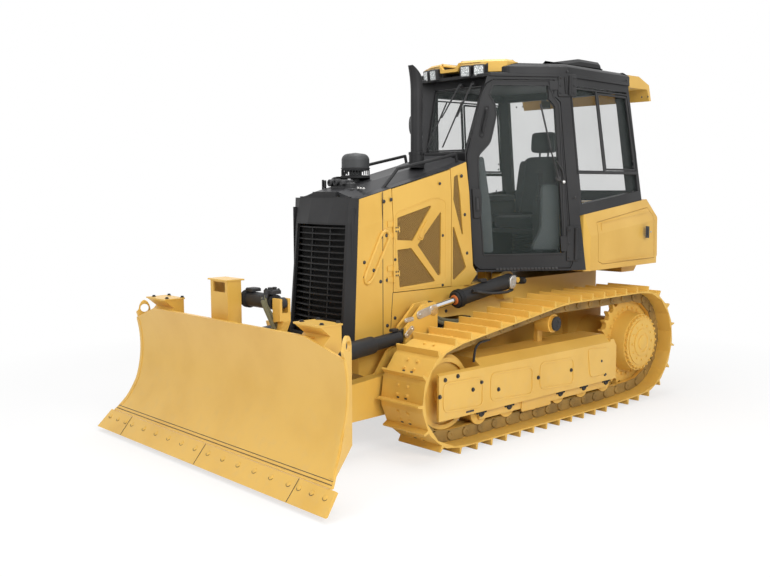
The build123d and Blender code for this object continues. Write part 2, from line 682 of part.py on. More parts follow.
def nose_cowl():
    """Black nose: three facets in plan, leaning back, with a hipped top and the grille's opening."""
    # height, half width of the flat, its x, half width of the corner, its x, x of the flank's rear edge
    levels = ((PANEL_BOTTOM_Z, 98, 1151, 305, 1126, 1058),
              (1594, 115, 1089, 296, 1052, 1016),
              (HOOD_FRONT_Z + 6, 130, 1034, 277, 1029, HOOD_FRONT_X + 3))

    def outline(level, inset):
        height, flat, flat_x, corner, corner_x, flank_x = level
        rear = HOOD_FRONT_X + SEAT
        flank = HOOD_HALF - SEAT
        half = [(max(flank_x - inset, rear + 2), flank - inset), (corner_x - inset, corner - inset * 0.7),
                (flat_x - inset, flat)]
        points = [(rear, flank - inset)] + half + [(x, -y) for x, y in reversed(half)]
        points += [(rear, -(flank - inset))]
        return Plane((0, 0, height)) * Polygon(*points, align=None)

    def shell(inset):
        parts = [loft([outline(low, inset), outline(high, inset)], ruled=True)
                 for low, high in zip(levels, levels[1:])]
        return parts[0] + parts[1]

    body = shell(0) - shell(22)
    top = HOOD_FRONT_Z + 6
    cap_low = Plane((0, 0, top - 22)) * Polygon((HOOD_FRONT_X + SEAT, 330), (1026, 277), (1032, 130),
                                               (1032, -130), (1026, -277), (HOOD_FRONT_X + SEAT, -330),
                                               align=None)
    body += extrude(cap_low, amount=22, dir=(0, 0, 1))
    crown = Plane((0, 0, top)) * Polygon((HOOD_FRONT_X + SEAT, 277), (1029, 277), (1034, 130), (1034, -130),
                                         (1029, -277), (HOOD_FRONT_X + SEAT, -277), align=None)
    ridge = Plane((0, 0, top + 43)) * Polygon((HOOD_FRONT_X + SEAT, 130), (1028, 130), (1028, -130),
                                              (HOOD_FRONT_X + SEAT, -130), align=None)
    body += extrude(crown, amount=10, dir=(0, 0, 1))
    body += extrude(ridge, amount=43, dir=(0, 0, -1))
    low, high = GRILLE_LOW_Z, GRILLE_HIGH_Z
    body -= front_prism([(-grille_half(low), low), (grille_half(low), low), (grille_half(high), high),
                         (-grille_half(high), high)], HOOD_FRONT_X + 22, 1300)
    behind = side_prism([(900, 600), (nose_seam(600) + SEAT, 600),
                         (nose_seam(HOOD_FRONT_Z) + SEAT, HOOD_FRONT_Z),
                         (HOOD_FRONT_X + SEAT, HOOD_FRONT_Z), (HOOD_FRONT_X + SEAT, 2000), (900, 2000)],
                        -500, 500)
    return body - behind



LOUVRE_COUNT = 18
LOUVRE_TOP_Z = 1552.0
LOUVRE_STEP = 43.5


def grille():
    """Bent louvres on two upright bars."""
    body = None
    for index in range(LOUVRE_COUNT):
        z = LOUVRE_TOP_Z - index * LOUVRE_STEP
        lean = (1594 - z) * 0.072
        flat = 1066 + lean
        end = 1036 + lean
        half = grille_half(z + 9) - SEAT
        points = [(end, half), (flat, 100), (flat, -100), (end, -half)]
        back = [(x - 34, y) for x, y in reversed(points)]
        slat = plan_prism(points + back, z, z + 9)
        body = slat if body is None else body + slat
    for y in (-100, 100):
        low, high = PANEL_BOTTOM_Z + 60, LOUVRE_TOP_Z + 9
        bar_profile = [(1066 - 34 + (1594 - low) * 0.072, low), (1066 - 16 + (1594 - low) * 0.072, low),
                       (1066 - 16 + (1594 - high) * 0.072, high), (1066 - 34 + (1594 - high) * 0.072, high)]
        body += side_prism(bar_profile, y - 5, y + 5)
    return body


STACK_X = 245.0
STACK_Y = 160.0
STACK_RADIUS = 46.0
STACK_TOP_Z = 2762.0
STACK_BEND_Z = 2540.0


def exhaust_stack():
    """Upright pipe with a wider sleeve at its foot, bent forward under a slanted mouth."""
    foot = hood_line(STACK_X) + 48

    def pipe(radius, start):
        path = Line((STACK_X, STACK_Y, start), (STACK_X, STACK_Y, STACK_BEND_Z))
        bend = ThreePointArc((STACK_X, STACK_Y, STACK_BEND_Z), (STACK_X + 7, STACK_Y, STACK_BEND_Z + 110),
                             (STACK_X + 30, STACK_Y, STACK_TOP_Z))
        return sweep(Plane((STACK_X, STACK_Y, start)) * Circle(radius), path=Wire([path, bend]))

    body = pipe(STACK_RADIUS, foot) + bar((STACK_X, STACK_Y, foot), (STACK_X, STACK_Y, foot + 110),
                                          STACK_RADIUS + 12)
    body = body & above_hood(SEAT)
    body -= pipe(STACK_RADIUS - 4, foot + 150)
    mouth = side_prism([(STACK_X - 120, STACK_TOP_Z - 200), (STACK_X - 120, STACK_TOP_Z + 60),
                        (STACK_X + 120, STACK_TOP_Z + 60), (STACK_X + 74, STACK_TOP_Z - 4)],
                       STACK_Y - 80, STACK_Y + 80)
    return body - mouth


CLEANER_X = 680.0
CLEANER_Y = -50.0


def pre_cleaner():
    """Air pre-cleaner: a neck with a clamp ring under a domed bowl."""
    foot = hood_line(CLEANER_X) + HOOD_CROWN[0][1]
    neck = bar((CLEANER_X, CLEANER_Y, foot - 40), (CLEANER_X, CLEANER_Y, foot + 52), 38) & above_hood(SEAT)
    # the bowl's half section: distance from the axis, height over the hood
    profile = [(0, 42), (48, 42), (48, 66), (66, 74), (100, 78), (104, 86), (104, 150)]
    outline = Polyline(*[(r, foot + z) for r, z in profile])
    dome = ThreePointArc((104, foot + 150), (94, foot + 184), (62, foot + 202))
    lid = Polyline((62, foot + 202), (0, foot + 210), (0, foot + 42))
    face = Plane.XZ * make_face(Wire([*outline.edges(), dome, *lid.edges()]))
    return neck + Pos(CLEANER_X, CLEANER_Y, 0) * revolve(face, Axis.Z)


def hood_rail():
    """One handrail along the hood's left shoulder."""
    y = 280.0
    path = [(725, y, hood_line(725) - 10), (560, y, hood_line(560) + 110), (-60, y, hood_line(-60) + 70),
            (-80, y, hood_line(-80) - 10)]
    rail = None
    for start, end in zip(path, path[1:]):
        piece = bar(start, end, 12) + Pos(*end) * Sphere(12)
        rail = piece if rail is None else rail + piece
    return rail & above_hood(SEAT)


# Cab

def cab_corners(level, inset=0.0):
    """Plan corners of the cab at one of its three heights, with the windscreen set back between the
    front posts."""
    half = [POST_W[level], POST_A[level], POST_B[level], POST_C[level]]
    face = Polygon(*(half + [(x, -y) for x, y in reversed(half)]), align=None)
    if inset:
        face = offset(face, -inset, kind=Kind.INTERSECTION)
    return face


def cab_volume(inset, low=0.0, high=0.0):
    heights = (CAB_FLOOR_Z - low, CAB_KNEE_Z, CAB_TOP_Z + high)
    faces = [Plane((0, 0, height)) * cab_corners(level, inset) for level, height in enumerate(heights)]
    return loft(faces[:2], ruled=True) + loft(faces[1:], ruled=True)


DOOR_START = Vector(POST_A[0][0], POST_A[0][1], 0)
DOOR_WAY = (Vector(POST_B[0][0], POST_B[0][1], 0) - DOOR_START).normalized()
DOOR_INWARD = Vector(-DOOR_WAY.Y, DOOR_WAY.X, 0)
DOOR_PLANE = Plane(DOOR_START, x_dir=DOOR_WAY, z_dir=DOOR_WAY.cross(Vector(0, 0, 1)))

# Door outline in the door's own plane: distance behind its foremost bottom corner, height
DOOR_OUTLINE = ((15, CAB_FLOOR_Z + 22), (-32, CAB_FLOOR_Z + 67), (-80, CAB_KNEE_Z - 211),
                (-92, CAB_KNEE_Z - 13), (22, CAB_TOP_Z - 140), (60, CAB_TOP_Z - 60), (118, CAB_TOP_Z - 28), (608, CAB_TOP_Z - 28),
                (604, CAB_TOP_Z - 147), (660, CAB_TOP_Z - 194), (722, CAB_KNEE_Z - 212),
                (786, CAB_FLOOR_Z + 57), (770, CAB_FLOOR_Z + 22))
DOOR_GLASS = ((106, CAB_TOP_Z - 60), (80, CAB_TOP_Z - 146), (126, CAB_TOP_Z - 210), (138, CAB_TOP_Z - 296),
              (111, CAB_TOP_Z - 431), (90, CAB_KNEE_Z + 79), (4, CAB_KNEE_Z - 17), (2, CAB_KNEE_Z - 211),
              (45, CAB_FLOOR_Z + 130), (712, CAB_FLOOR_Z + 130), (668, CAB_KNEE_Z - 212),
              (622, CAB_TOP_Z - 230), (570, CAB_TOP_Z - 170), (560, CAB_TOP_Z - 60))
DOOR_THICK = 45.0


def door_prism(points, depth_low, depth_high, grow=0.0):
    """A profile in the left door's plane, carried inwards from depth_low to depth_high."""
    face = Polygon(*points, align=None)
    if grow:
        face = offset(face, grow, kind=Kind.INTERSECTION)
    solid = extrude(DOOR_PLANE * face, amount=depth_high - depth_low, dir=DOOR_INWARD)
    return Pos(*(DOOR_INWARD * depth_low)) * solid


# The cab door's hinge line in the door's plane (distance, height) and how far it stands outside
HINGE_LOW = (815.0, CAB_FLOOR_Z + 215)
HINGE_HIGH = (700.0, CAB_TOP_Z - 65)
HINGE_OUT = 14.0
HINGE_PIN_RADIUS = 6.0
HINGE_KNUCKLE_RADIUS = 10.0
HINGE_LEAF_OUT = 10.0
# height of each hinge's middle, length of its moving knuckle, length of each fixed one
CAB_HINGES = ((HINGE_LOW[1], 120.0, 60.0), (HINGE_HIGH[1], 70.0, 26.0))


def hinge_place(z, out=HINGE_OUT):
    """A point of the left cab door's hinge line at a height."""
    share = (z - HINGE_LOW[1]) / (HINGE_HIGH[1] - HINGE_LOW[1])
    along = HINGE_LOW[0] + (HINGE_HIGH[0] - HINGE_LOW[0]) * share
    return DOOR_START + DOOR_WAY * along - DOOR_INWARD * out + Vector(0, 0, z), along


def hinge_bar(low, high, radius):
    return bar(tuple(hinge_place(low)[0]), tuple(hinge_place(high)[0]), radius)


def hinge_leaf(low, high, reach_near, reach_far):
    """A leaf beside the hinge line, flat on the door's plane. Reach is measured rearwards."""
    points = [(hinge_place(z)[1] + reach, z) for z, reach in
              ((low, reach_near), (low, reach_far), (high, reach_far), (high, reach_near))]
    return door_prism(points, -HINGE_LEAF_OUT, 1)


def cab_hinge(moving):
    """One side's leaves of the left cab door's hinges: the fixed ones hold the pins."""
    leaves = []
    for z, knuckle, fixed in CAB_HINGES:
        low, high = z - knuckle / 2, z + knuckle / 2
        if moving:
            piece = hinge_bar(low, high, HINGE_KNUCKLE_RADIUS)
            piece += hinge_leaf(low, high, -130, -6) - door_prism(DOOR_SIDE_GAP, -KNUCKLE_RUN, 2)
            piece -= hinge_bar(low - 5, high + 5, HINGE_PIN_RADIUS + PIN_RUN)
        else:
            piece = hinge_bar(low - fixed, high + fixed, HINGE_PIN_RADIUS)
            for start, end in ((low - fixed, low - KNUCKLE_RUN), (high + KNUCKLE_RUN, high + fixed)):
                piece += hinge_bar(start, end, HINGE_KNUCKLE_RADIUS) + hinge_leaf(start, end, 4, 44)
        leaves.append(piece)
    return leaves


# The strip behind the door's rear edge, over which a moving leaf passes without touching
DOOR_SIDE_GAP = ((786, CAB_FLOOR_Z), (722, CAB_KNEE_Z - 212), (660, CAB_TOP_Z - 194), (604, CAB_TOP_Z - 147),
                 (608, CAB_TOP_Z), (900, CAB_TOP_Z), (1000, CAB_FLOOR_Z))


def post_x(post, z):
    """Where a post's line is at a height."""
    low, knee, top = (place[0] for place in post)
    if z < CAB_KNEE_Z:
        return low + (knee - low) * (z - CAB_FLOOR_Z) / CAB_LOWER
    return knee + (top - knee) * (z - CAB_KNEE_Z) / CAB_UPPER


def box_top(x):
    """Height of the rear boxes' top edge."""
    return BOX_FRONT_Z + (BOX_FRONT_X - x) * BOX_SLOPE


WINDOW_SILL = 88.0        # from the rear boxes' top to a side window
WINDOW_HEAD = 60.0        # from the cab's top to each window
SIDE_POST_FRONT = 36.0
SIDE_POST_REAR = 46.0


def side_window(inset=0.0):
    """Outline of the rear side window's opening."""
    low_front, low_rear = box_top(-968) + WINDOW_SILL, box_top(-1868) + WINDOW_SILL
    high = CAB_TOP_Z - WINDOW_HEAD
    points = [(post_x(POST_B, low_front) - SIDE_POST_FRONT, low_front),
              (post_x(POST_C, low_rear) + SIDE_POST_REAR, low_rear),
              (post_x(POST_C, high) + SIDE_POST_REAR, high), (post_x(POST_B, high) - SIDE_POST_FRONT, high)]
    face = offset(Polygon(*points, align=None), -inset, kind=Kind.INTERSECTION) if inset else Polygon(
        *points, align=None)
    plane = Plane((0, BOX_HALF, 0), x_dir=(1, 0, 0), z_dir=(0, -1, 0))
    return extrude(plane * face, amount=400, dir=(0, 1, 0))


def end_window(low_half, high_half, low_z, inset=0.0):
    """A window's way through the cab's front or rear wall, between two heights."""
    high_z = CAB_TOP_Z - WINDOW_HEAD
    face = Polygon((-low_half, low_z), (low_half, low_z), (high_half, high_z), (-high_half, high_z),
                   align=None)
    if inset:
        face = offset(face, -inset, kind=Kind.INTERSECTION)
    plane = Plane((-2200, 0, 0), x_dir=(0, 1, 0), z_dir=(1, 0, 0))
    return extrude(plane * face, amount=2200, dir=(1, 0, 0))


def front_window(inset=0.0):
    return end_window(212, 258, CAB_KNEE_Z + 17, inset) & block(-700, 0, -500, 500, CAB_KNEE_Z, CAB_TOP_Z)


def back_window(inset=0.0):
    return end_window(640, 600, CAB_KNEE_Z - 300, inset) & block(-2200, -1600, -800, 800, 1500, CAB_TOP_Z)


def pane(opening):
    """The glass of an opening, set back from the cab's outer faces."""
    return opening & (cab_volume(GLASS_DEPTH, high=-2) - cab_volume(GLASS_DEPTH + GLASS, high=2))


def cab_frame():
    """Posts, headers and sills in one welded frame, with the fixed leaves of the door hinges."""
    body = cab_volume(0) - cab_volume(CAB_WALL, low=1, high=1)
    opening = door_prism(DOOR_OUTLINE, -60, CAB_WALL + 1, SWING)
    body = body - opening - mirrored(opening)
    over_box = [(-1003, CAB_FLOOR_Z - 2), (BOX_FRONT_X + 3, box_top(BOX_FRONT_X) + SEAT),
                (-2100, box_top(-2100) + SEAT), (-2100, CAB_FLOOR_Z - 2)]
    body -= side_prism(over_box, -1000, 1000)
    window = side_window()
    body = body - window - mirrored(window) - front_window() - back_window()
    for leaf in cab_hinge(False):
        body += leaf + mirrored(leaf)
    return body


def cab_roof(grow=0.0):
    """Roof slab with a chamfered rim."""
    half = [POST_A[2], POST_B[2], POST_C[2]]
    outline = Polygon(*(half + [(x, -y) for x, y in reversed(half)]), align=None)
    # height, how far the edge stands out from the posts
    rim = ((CAB_TOP_Z + SEAT, 14), (CAB_TOP_Z + 76, 10), (CAB_TOP_Z + ROOF_RISE, -50))
    faces = [Plane((0, 0, height + grow)) * offset(outline, out + grow, kind=Kind.INTERSECTION)
             for height, out in rim]
    return loft(faces[:2], ruled=True) + loft(faces[1:], ruled=True)


def cab_tub():
    """Floor of the cab with the low inner walls beside and behind the seat."""
    wall, low, high = 40.0, CAB_FLOOR_Z + SEAT, CAB_FLOOR_Z + 427
    inside = cab_volume(CAB_WALL + SEAT)
    limit = BOX_HALF - SEAT
    body = inside & block(TANK_FRONT_X + SEAT, 0, -900, 900, low, low + wall)
    for near, far in ((limit, 1000), (-1000, -limit)):
        body -= block(-2100, -940, near, far, 0, 3000)
    walls = block(TANK_FRONT_X + SEAT, -1000, -limit, limit, low, high)
    walls -= block(-1860, -900, -limit + wall, limit - wall, low, 3000)
    return body + (walls & inside)


def front_shroud():
    """Two hooded lamp bays on the roof's front edge, joined by a low strip."""
    low, high = CAB_TOP_Z + 40, CAB_TOP_Z + 124
    bay = plan_prism([(-293, 88), (-350, 300), (-462, 446), (-560, 446), (-560, 88)], low, high)
    # the lamps' recess, open to the front under the bay's top
    bay -= plan_prism([(-250, 128), (-300, 330), (-420, 330), (-370, 128)], low + 8, high - 12)
    strip = plan_prism([(-293, 90), (-293, -90), (-560, -90), (-560, 90)], low, CAB_TOP_Z + 64)
    return bay + mirrored(bay) + strip - cab_roof(SEAT)


def window_left():
    """Rear side window: a pane inside the frame's opening."""
    return pane(side_window(SEAT))


def windscreen():
    return pane(front_window(SEAT))


def rear_window():
    return pane(back_window(SEAT))


def cab_door():
    """Left door frame with its glass opening and the moving leaves of its hinges."""
    body = door_prism(DOOR_OUTLINE, 0, DOOR_THICK) - door_prism(DOOR_GLASS, -10, DOOR_THICK + 10)
    for leaf in cab_hinge(True):
        body += leaf
    return body


def cab_door_glass():
    return door_prism(DOOR_GLASS, 18, 18 + GLASS, -SEAT)


def seat():
    """Cushion, back and headrest on a pedestal."""
    floor = CAB_FLOOR_Z + SEAT + 40
    body = block(-1560, -1160, -180, 180, floor + SEAT, floor + 260)
    body += block(-1580, -1080, -250, 250, floor + 260, floor + 380)
    body += side_prism([(-1540, floor + 380), (-1440, floor + 380), (-1500, 2130), (-1600, 2130)], -240, 240)
    body += side_prism([(-1595, 2120), (-1490, 2120), (-1500, 2330), (-1590, 2330)], -130, 130)
    return body


def consoles():
    """Arm consoles with their levers, on both sides of the seat."""
    floor = CAB_FLOOR_Z + SEAT + 40
    shapes = []
    for side in (1, -1):
        low, high = sorted((side * 300, side * 420))
        arm = block(-1500, -1000, low, high, floor + SEAT, 1720)
        arm += bar((-1060, side * 360, 1710), (-1030, side * 350, 1860), 22)
        shapes.append(arm)
    return shapes


# Rear boxes and tank

def rear_box():
    """Left rear box: upright side with a crease, its top following the window sill."""
    plan = [(-942, 640), (-1000, 818), (-1062, 846), (-2161, 791), (-2161, BOX_HALF), (-942, BOX_HALF)]
    profile = [(-1006, 1159), (BOX_FRONT_X, BOX_FRONT_Z), (BOX_REAR_X, box_top(BOX_REAR_X)), (-2161, 1573),
               (-2161, 1161)]
    body = plan_prism(plan, 1100, 1800) & side_prism(profile, 500, 900)
    cutter = []
    for x, crease, top in ((-900, 1425, 1613), (-2200, 1555, 1752)):
        face_y = 846 + (x + 1062) * 0.05
        plane = Plane((x, 0, 0), x_dir=(0, 1, 0), z_dir=(1, 0, 0))
        cutter.append(plane * Polygon((face_y, crease), (face_y - 60, crease + 2 * (top - crease)),
                                      (face_y + 120, crease + 2 * (top - crease)), (face_y + 120, crease),
                                      align=None))
    return body - loft(cutter, ruled=True)


SERVICE_DOOR = ((-1178, 1549), (-2002, 1655), (-2100, 1575), (-2116, 1213), (-1258, 1207), (-1190, 1230))
SERVICE_DEPTH = 12.0


def service_door():
    """Flush door plate on the left rear box."""
    face = side_prism(SERVICE_DOOR, 700, 900)
    box = rear_box()
    return face & (box - Pos(0, -SERVICE_DEPTH, 0) * box)


def rear_box_body():
    """The rear box with the door's pocket."""
    pocket = offset(Polygon(*SERVICE_DOOR, align=None), 4, kind=Kind.INTERSECTION)
    plane = Plane((0, 900, 0), x_dir=(1, 0, 0), z_dir=(0, -1, 0))
    box = rear_box()
    skin_part = box - Pos(0, -SERVICE_DEPTH - SEAT, 0) * box
    skin_part &= extrude(plane * pocket, amount=200, dir=(0, -1, 0))
    return box - skin_part


def fuel_tank():
    """Tank between the rear boxes, under the rear window."""
    limit, foot = BOX_HALF - SEAT, FRAME_TOP_Z + SEAT
    return side_prism([(TANK_FRONT_X, foot), (TANK_FRONT_X, 1700), (BOX_REAR_X, box_top(BOX_REAR_X) - 2),
                       (-2161, 1573), (-2161, 1150), (-2100, foot)], -limit, limit)


def rear_shroud():
    """Yellow light shroud across the cab's rear."""
    side = [(-1775, CAB_TOP_Z + 92), (-1945, CAB_TOP_Z + 92), (-2112, CAB_TOP_Z + 28),
            (-2150, CAB_TOP_Z - 106), (-2120, CAB_TOP_Z - 110), (-2082, CAB_TOP_Z - 10),
            (-1800, CAB_TOP_Z - 10)]
    return side_prism(side, -700, 700) - cab_roof(SEAT)


def ac_cover():
    """Low cover on the roof."""
    low = Plane((-1385, 0, CAB_TOP_Z + ROOF_RISE + SEAT)) * RectangleRounded(660, 900, 60)
    high = Plane((-1420, 0, CAB_TOP_Z + ROOF_RISE + 85)) * RectangleRounded(440, 700, 50)
    return loft([low, high], ruled=True)


# C-frame, swivel and blade

ARM_Y = 440.0
ARM_WIDTH = 100.0
CROSS_X = 1310.0


def arm_lug(y_low, y_high, front):
    """Upright lug on a C-frame arm. It carries the lift rod's pin in a wide hole, because that
    pin drifts a little, and stands back from the angle cylinder in front of the ball."""
    outline = front + [(735, 725), (728, 850), (690, 880), (560, 1000), (430, 1010), (405, 950), (405, 520)]
    lug = side_prism(outline, y_low, y_high)
    return lug - pin_y(LIFT_EYE_X, LIFT_EYE_Z, y_low - 5, y_high + 5, LIFT_PIN_RADIUS + PIN_DRIFT)


def c_frame():
    """Two arms, each with a pair of upright lugs, joined in front by a cross box and a nose."""
    profile = [(CFRAME_PIVOT_X - 75, 360), (CFRAME_PIVOT_X - 75, 480), (CFRAME_PIVOT_X, 500),
               (925, 538), (CROSS_X, 505), (CROSS_X, 250), (500, 262), (CFRAME_PIVOT_X, 340)]
    arm = side_prism(profile, ARM_Y, ARM_Y + ARM_WIDTH)
    arm -= pin_y(CFRAME_PIVOT_X, CFRAME_PIVOT_Z, ARM_Y - 10, ARM_Y + ARM_WIDTH + 10, 40 + PIN_RUN)
    arm += arm_lug(ARM_Y, LIFT_Y - LUG_GAP_HALF, [(960, 520), (830, 690)])
    arm += arm_lug(LIFT_Y + LUG_GAP_HALF, ARM_Y + ARM_WIDTH, [(860, 520), (790, 690)])
    body = arm + mirrored(arm)
    half = [(CROSS_X, ARM_Y + ARM_WIDTH), (CROSS_X + 30, ARM_Y + ARM_WIDTH), (SWIVEL_X - 90, 110)]
    body += plan_prism(half + [(x, -y) for x, y in reversed(half)], 250, 505)
    for z in (BALL_Z - 130, BALL_Z + 75):
        body += block(SWIVEL_X - 92, SWIVEL_X, -80, 80, z, z + 50)
        body += bar((SWIVEL_X, 0, z), (SWIVEL_X, 0, z + 50), 80)
    body += bar((SWIVEL_X, 0, BALL_Z - 130), (SWIVEL_X, 0, BALL_Z + 140), 38)
    return body


def angle_ball():
    """Ball between the left arm's lugs, with the upright pin of the angle cylinder."""
    centre = (ANGLE_BASE_X, ANGLE_BASE_Y, ANGLE_BASE_Z)
    pin = bar((ANGLE_BASE_X, ANGLE_BASE_Y, ANGLE_BASE_Z - 44),
              (ANGLE_BASE_X, ANGLE_BASE_Y, ANGLE_BASE_Z + 44), BALL_PIN_RADIUS)
    return Pos(*centre) * Sphere(BALL_RADIUS) + pin


def swivel():
    """Trunnion block that turns on the C-frame's nose, with the tower of the tilt cylinder."""
    z_low, z_high = BALL_Z - 130 + 50 + SEAT, BALL_Z + 75 - SEAT
    body = bar((SWIVEL_X, 0, z_low), (SWIVEL_X, 0, z_high), 78)
    body += block(SWIVEL_X, SWIVEL_X + 130, -78, 78, z_low, z_high)
    body += block(SWIVEL_X + 86, SWIVEL_X + 130, -110, 110, BALL_Z - 130, BALL_Z + 170)
    body -= bar((SWIVEL_X, 0, z_low - 10), (SWIVEL_X, 0, z_high + 10), 38 + PIN_RUN)
    low, high = TILT_BASE_Y - 40, TILT_BASE_Y + 40
    tower = [(-110, BALL_Z + 168), (110, BALL_Z + 168), (high, TILT_Z - 120), (high, TILT_Z - 62),
             (low, TILT_Z - 62), (low, TILT_Z - 130)]
    body += front_prism(tower, TILT_X - 44, TILT_X + 18)
    for x in (TILT_X - 44, TILT_X + 24):
        lug = [(low, TILT_Z - 130), (high, TILT_Z - 110), (high, TILT_Z + 32), (low, TILT_Z + 32)]
        body += front_prism(lug, x, x + 20)
    body += block(TILT_X - 44, TILT_X + 44, low, high, TILT_Z - 115, TILT_Z - 62)
    body += bar((TILT_X - 44, TILT_BASE_Y, TILT_Z), (TILT_X + 44, TILT_BASE_Y, TILT_Z), PIN_RADIUS)
    body += bar((SWIVEL_X + 129, 0, BALL_Z), (SWIVEL_X + 210, 0, BALL_Z), 45)
    return body


def blade_outline():
    """Front view of the moldboard: half widths and heights, left side up and right side down."""
    half = [(BLADE_HALF_FOOT, EDGE_TOP_Z), ((BLADE_HALF_FOOT + BLADE_HALF_WAIST) / 2 - 12, 260),
            (BLADE_HALF_WAIST, BLADE_WAIST_Z), (BLADE_HALF_TOP, BLADE_CORNER_Z),
            (BLADE_FACET_HALF, BLADE_TOP_Z)]
    return half + [(-y, z) for y, z in reversed(half)]


def moldboard_curve(back=0.0):
    """Side view of the moldboard's front face: one arc from the cutting edge to the top."""
    return ThreePointArc((EDGE_TOP_X - back, EDGE_TOP_Z), (BLADE_MID_X - back, BLADE_MID_Z),
                         (BLADE_TOP_X - back, BLADE_TOP_Z))


def moldboard_sheet(y_half):
    front = moldboard_curve()
    back = moldboard_curve(MOLDBOARD_PLATE)
    wire = Wire([front, Line(front @ 1, back @ 1), back, Line(back @ 0, front @ 0)])
    plane = Plane((0, -y_half, 0), x_dir=(1, 0, 0), z_dir=(0, -1, 0))
    return extrude(plane * make_face(wire), amount=2 * y_half, dir=(0, 1, 0))


def blade():
    """Moldboard with its end plates, lifting eyes, ribs, mast brackets and rear box."""
    body = moldboard_sheet(1500)
    trim = blade_outline()
    trim = [(trim[0][0] + 3, EDGE_TIP_Z - 50)] + trim + [(-trim[0][0] - 3, EDGE_TIP_Z - 50)]
    body = body & front_prism(trim, 1500, 2300)
    front_side = moldboard_front_side()
    low_box = side_prism([(EDGE_TOP_X - 16, EDGE_TOP_Z + 4), (1960, 300), (1880, 300), (1880, 285),
                          (2020, 185), (EDGE_TOP_X - 16, EDGE_TOP_Z - 4)], -1200, 1200)
    top_box = side_prism([(1915, 955), (1880, 800), (1770, 800), (1770, 900), (1850, 955)], -900, 900)
    body += low_box - front_side
    body += top_box - front_side
    for y in (-900, -350, 350, 900):
        rib = side_prism([(1900, 930), (1770, 860), (1770, 240), (1990, 240)], y - 10, y + 10)
        body += rib - front_side
    for side in (1, -1):
        body += end_plate(side)
        body += mast_bracket(side)
        for z in (ANGLE_EYE_Z - ANGLE_ROOM_UNDER - 14, ANGLE_EYE_Z + ANGLE_ROOM_OVER):
            y = side * ANGLE_EYE_Y
            body += block(ANGLE_EYE_X - 45, 1890, y - 60, y + 60, z, z + 14) - front_side
    body += centre_bracket()
    hub = block(SWIVEL_X + 136, 1925, -130, 130, BALL_Z - 120, BALL_Z + 120)
    hub -= bar((SWIVEL_X + 130, 0, BALL_Z), (SWIVEL_X + 214, 0, BALL_Z), 45 + PIN_RUN)
    body += hub - front_side
    return body


def moldboard_front_side():
    """Everything in front of the moldboard's mid thickness, used to trim what stands behind it."""
    front = moldboard_curve(MOLDBOARD_PLATE / 2)
    top, foot = front @ 1, front @ 0
    wire = Wire([front, Line(top, (top.X, 1200)), Line((top.X, 1200), (2400, 1200)),
                 Line((2400, 1200), (2400, foot.Y)), Line((2400, foot.Y), foot)])
    plane = Plane((0, -1500, 0), x_dir=(1, 0, 0), z_dir=(0, -1, 0))
    return extrude(plane * make_face(wire), amount=3000, dir=(0, 1, 0))


def end_plate(side):
    """Splayed plate behind the moldboard's end: an upright rear edge, a slanted foot, and the
    lifting eye on top. Its outline is in runs along the plate from the rear edge, and heights."""
    thick = 22.0
    splay = math.radians(END_PLATE_SPLAY)
    plane = Plane((END_PLATE_REAR_X, side * END_PLATE_Y, 0),
                  x_dir=(math.cos(splay), side * math.sin(splay), 0),
                  z_dir=(math.sin(splay), -side * math.cos(splay), 0))
    up = 1 if plane.y_dir.Z > 0 else -1
    points = [(0, 333), (0, 925), (6, 955), (18, 978), (36, 992), (50, 992), (68, 978), (80, 955),
              (86, 925), (150, 850), (285, 850), (285, 152)]
    face = Polygon(*[(run, up * height) for run, height in points], align=None)
    plate = extrude(plane * face, amount=thick / 2, both=True)
    eye = plane * Pos(43, up * EYE_Z) * Circle(EYE_RADIUS)
    plate -= extrude(eye, amount=thick, both=True)
    return plate - moldboard_front_side()


MAST_TOP_Z = 1037.0
MAST_PLATE = 10.0
MAST_IN = 765.0
MAST_OUT = 1032.0
MAST_FRONT_X = 1903.0
MAST_DEPTH = 170.0


def mast_bracket(side):
    """Pad for a guidance mast on a web bent like a V, with a gusset at each end."""
    low, high = sorted((side * MAST_IN, side * MAST_OUT))
    front, rear, pad_low = MAST_FRONT_X, MAST_FRONT_X - MAST_DEPTH, MAST_TOP_Z - MAST_PLATE
    body = block(rear, front, low, high, pad_low, MAST_TOP_Z)
    knee_x, knee_z, foot_x, foot_z = front - 78, 968, front - 12, 905
    web = [(front - 4, pad_low + 1), (knee_x, knee_z), (foot_x, foot_z), (foot_x - 14, foot_z),
           (knee_x - 14, knee_z), (front - 22, pad_low + 1)]
    body += side_prism(web, low + 6, high - 6)
    gusset = [(front - 6, pad_low + 1), (knee_x, knee_z), (foot_x, foot_z), (rear + 40, 850), (rear + 6, 880),
              (rear + 6, pad_low + 1)]
    for y in (low + 6, high - 16):
        body += side_prism(gusset, y, y + 10)
    return body - moldboard_front_side()


COLUMN_TOP_Z = 1215.0
COLUMN_LEFT_Y = -62.0
COLUMN_RIGHT_Y = -270.0
COLUMN_FRONT_X = 1823.0
COLUMN_REAR_X = 1712.0
TILT_LUG_HALF = 28.0


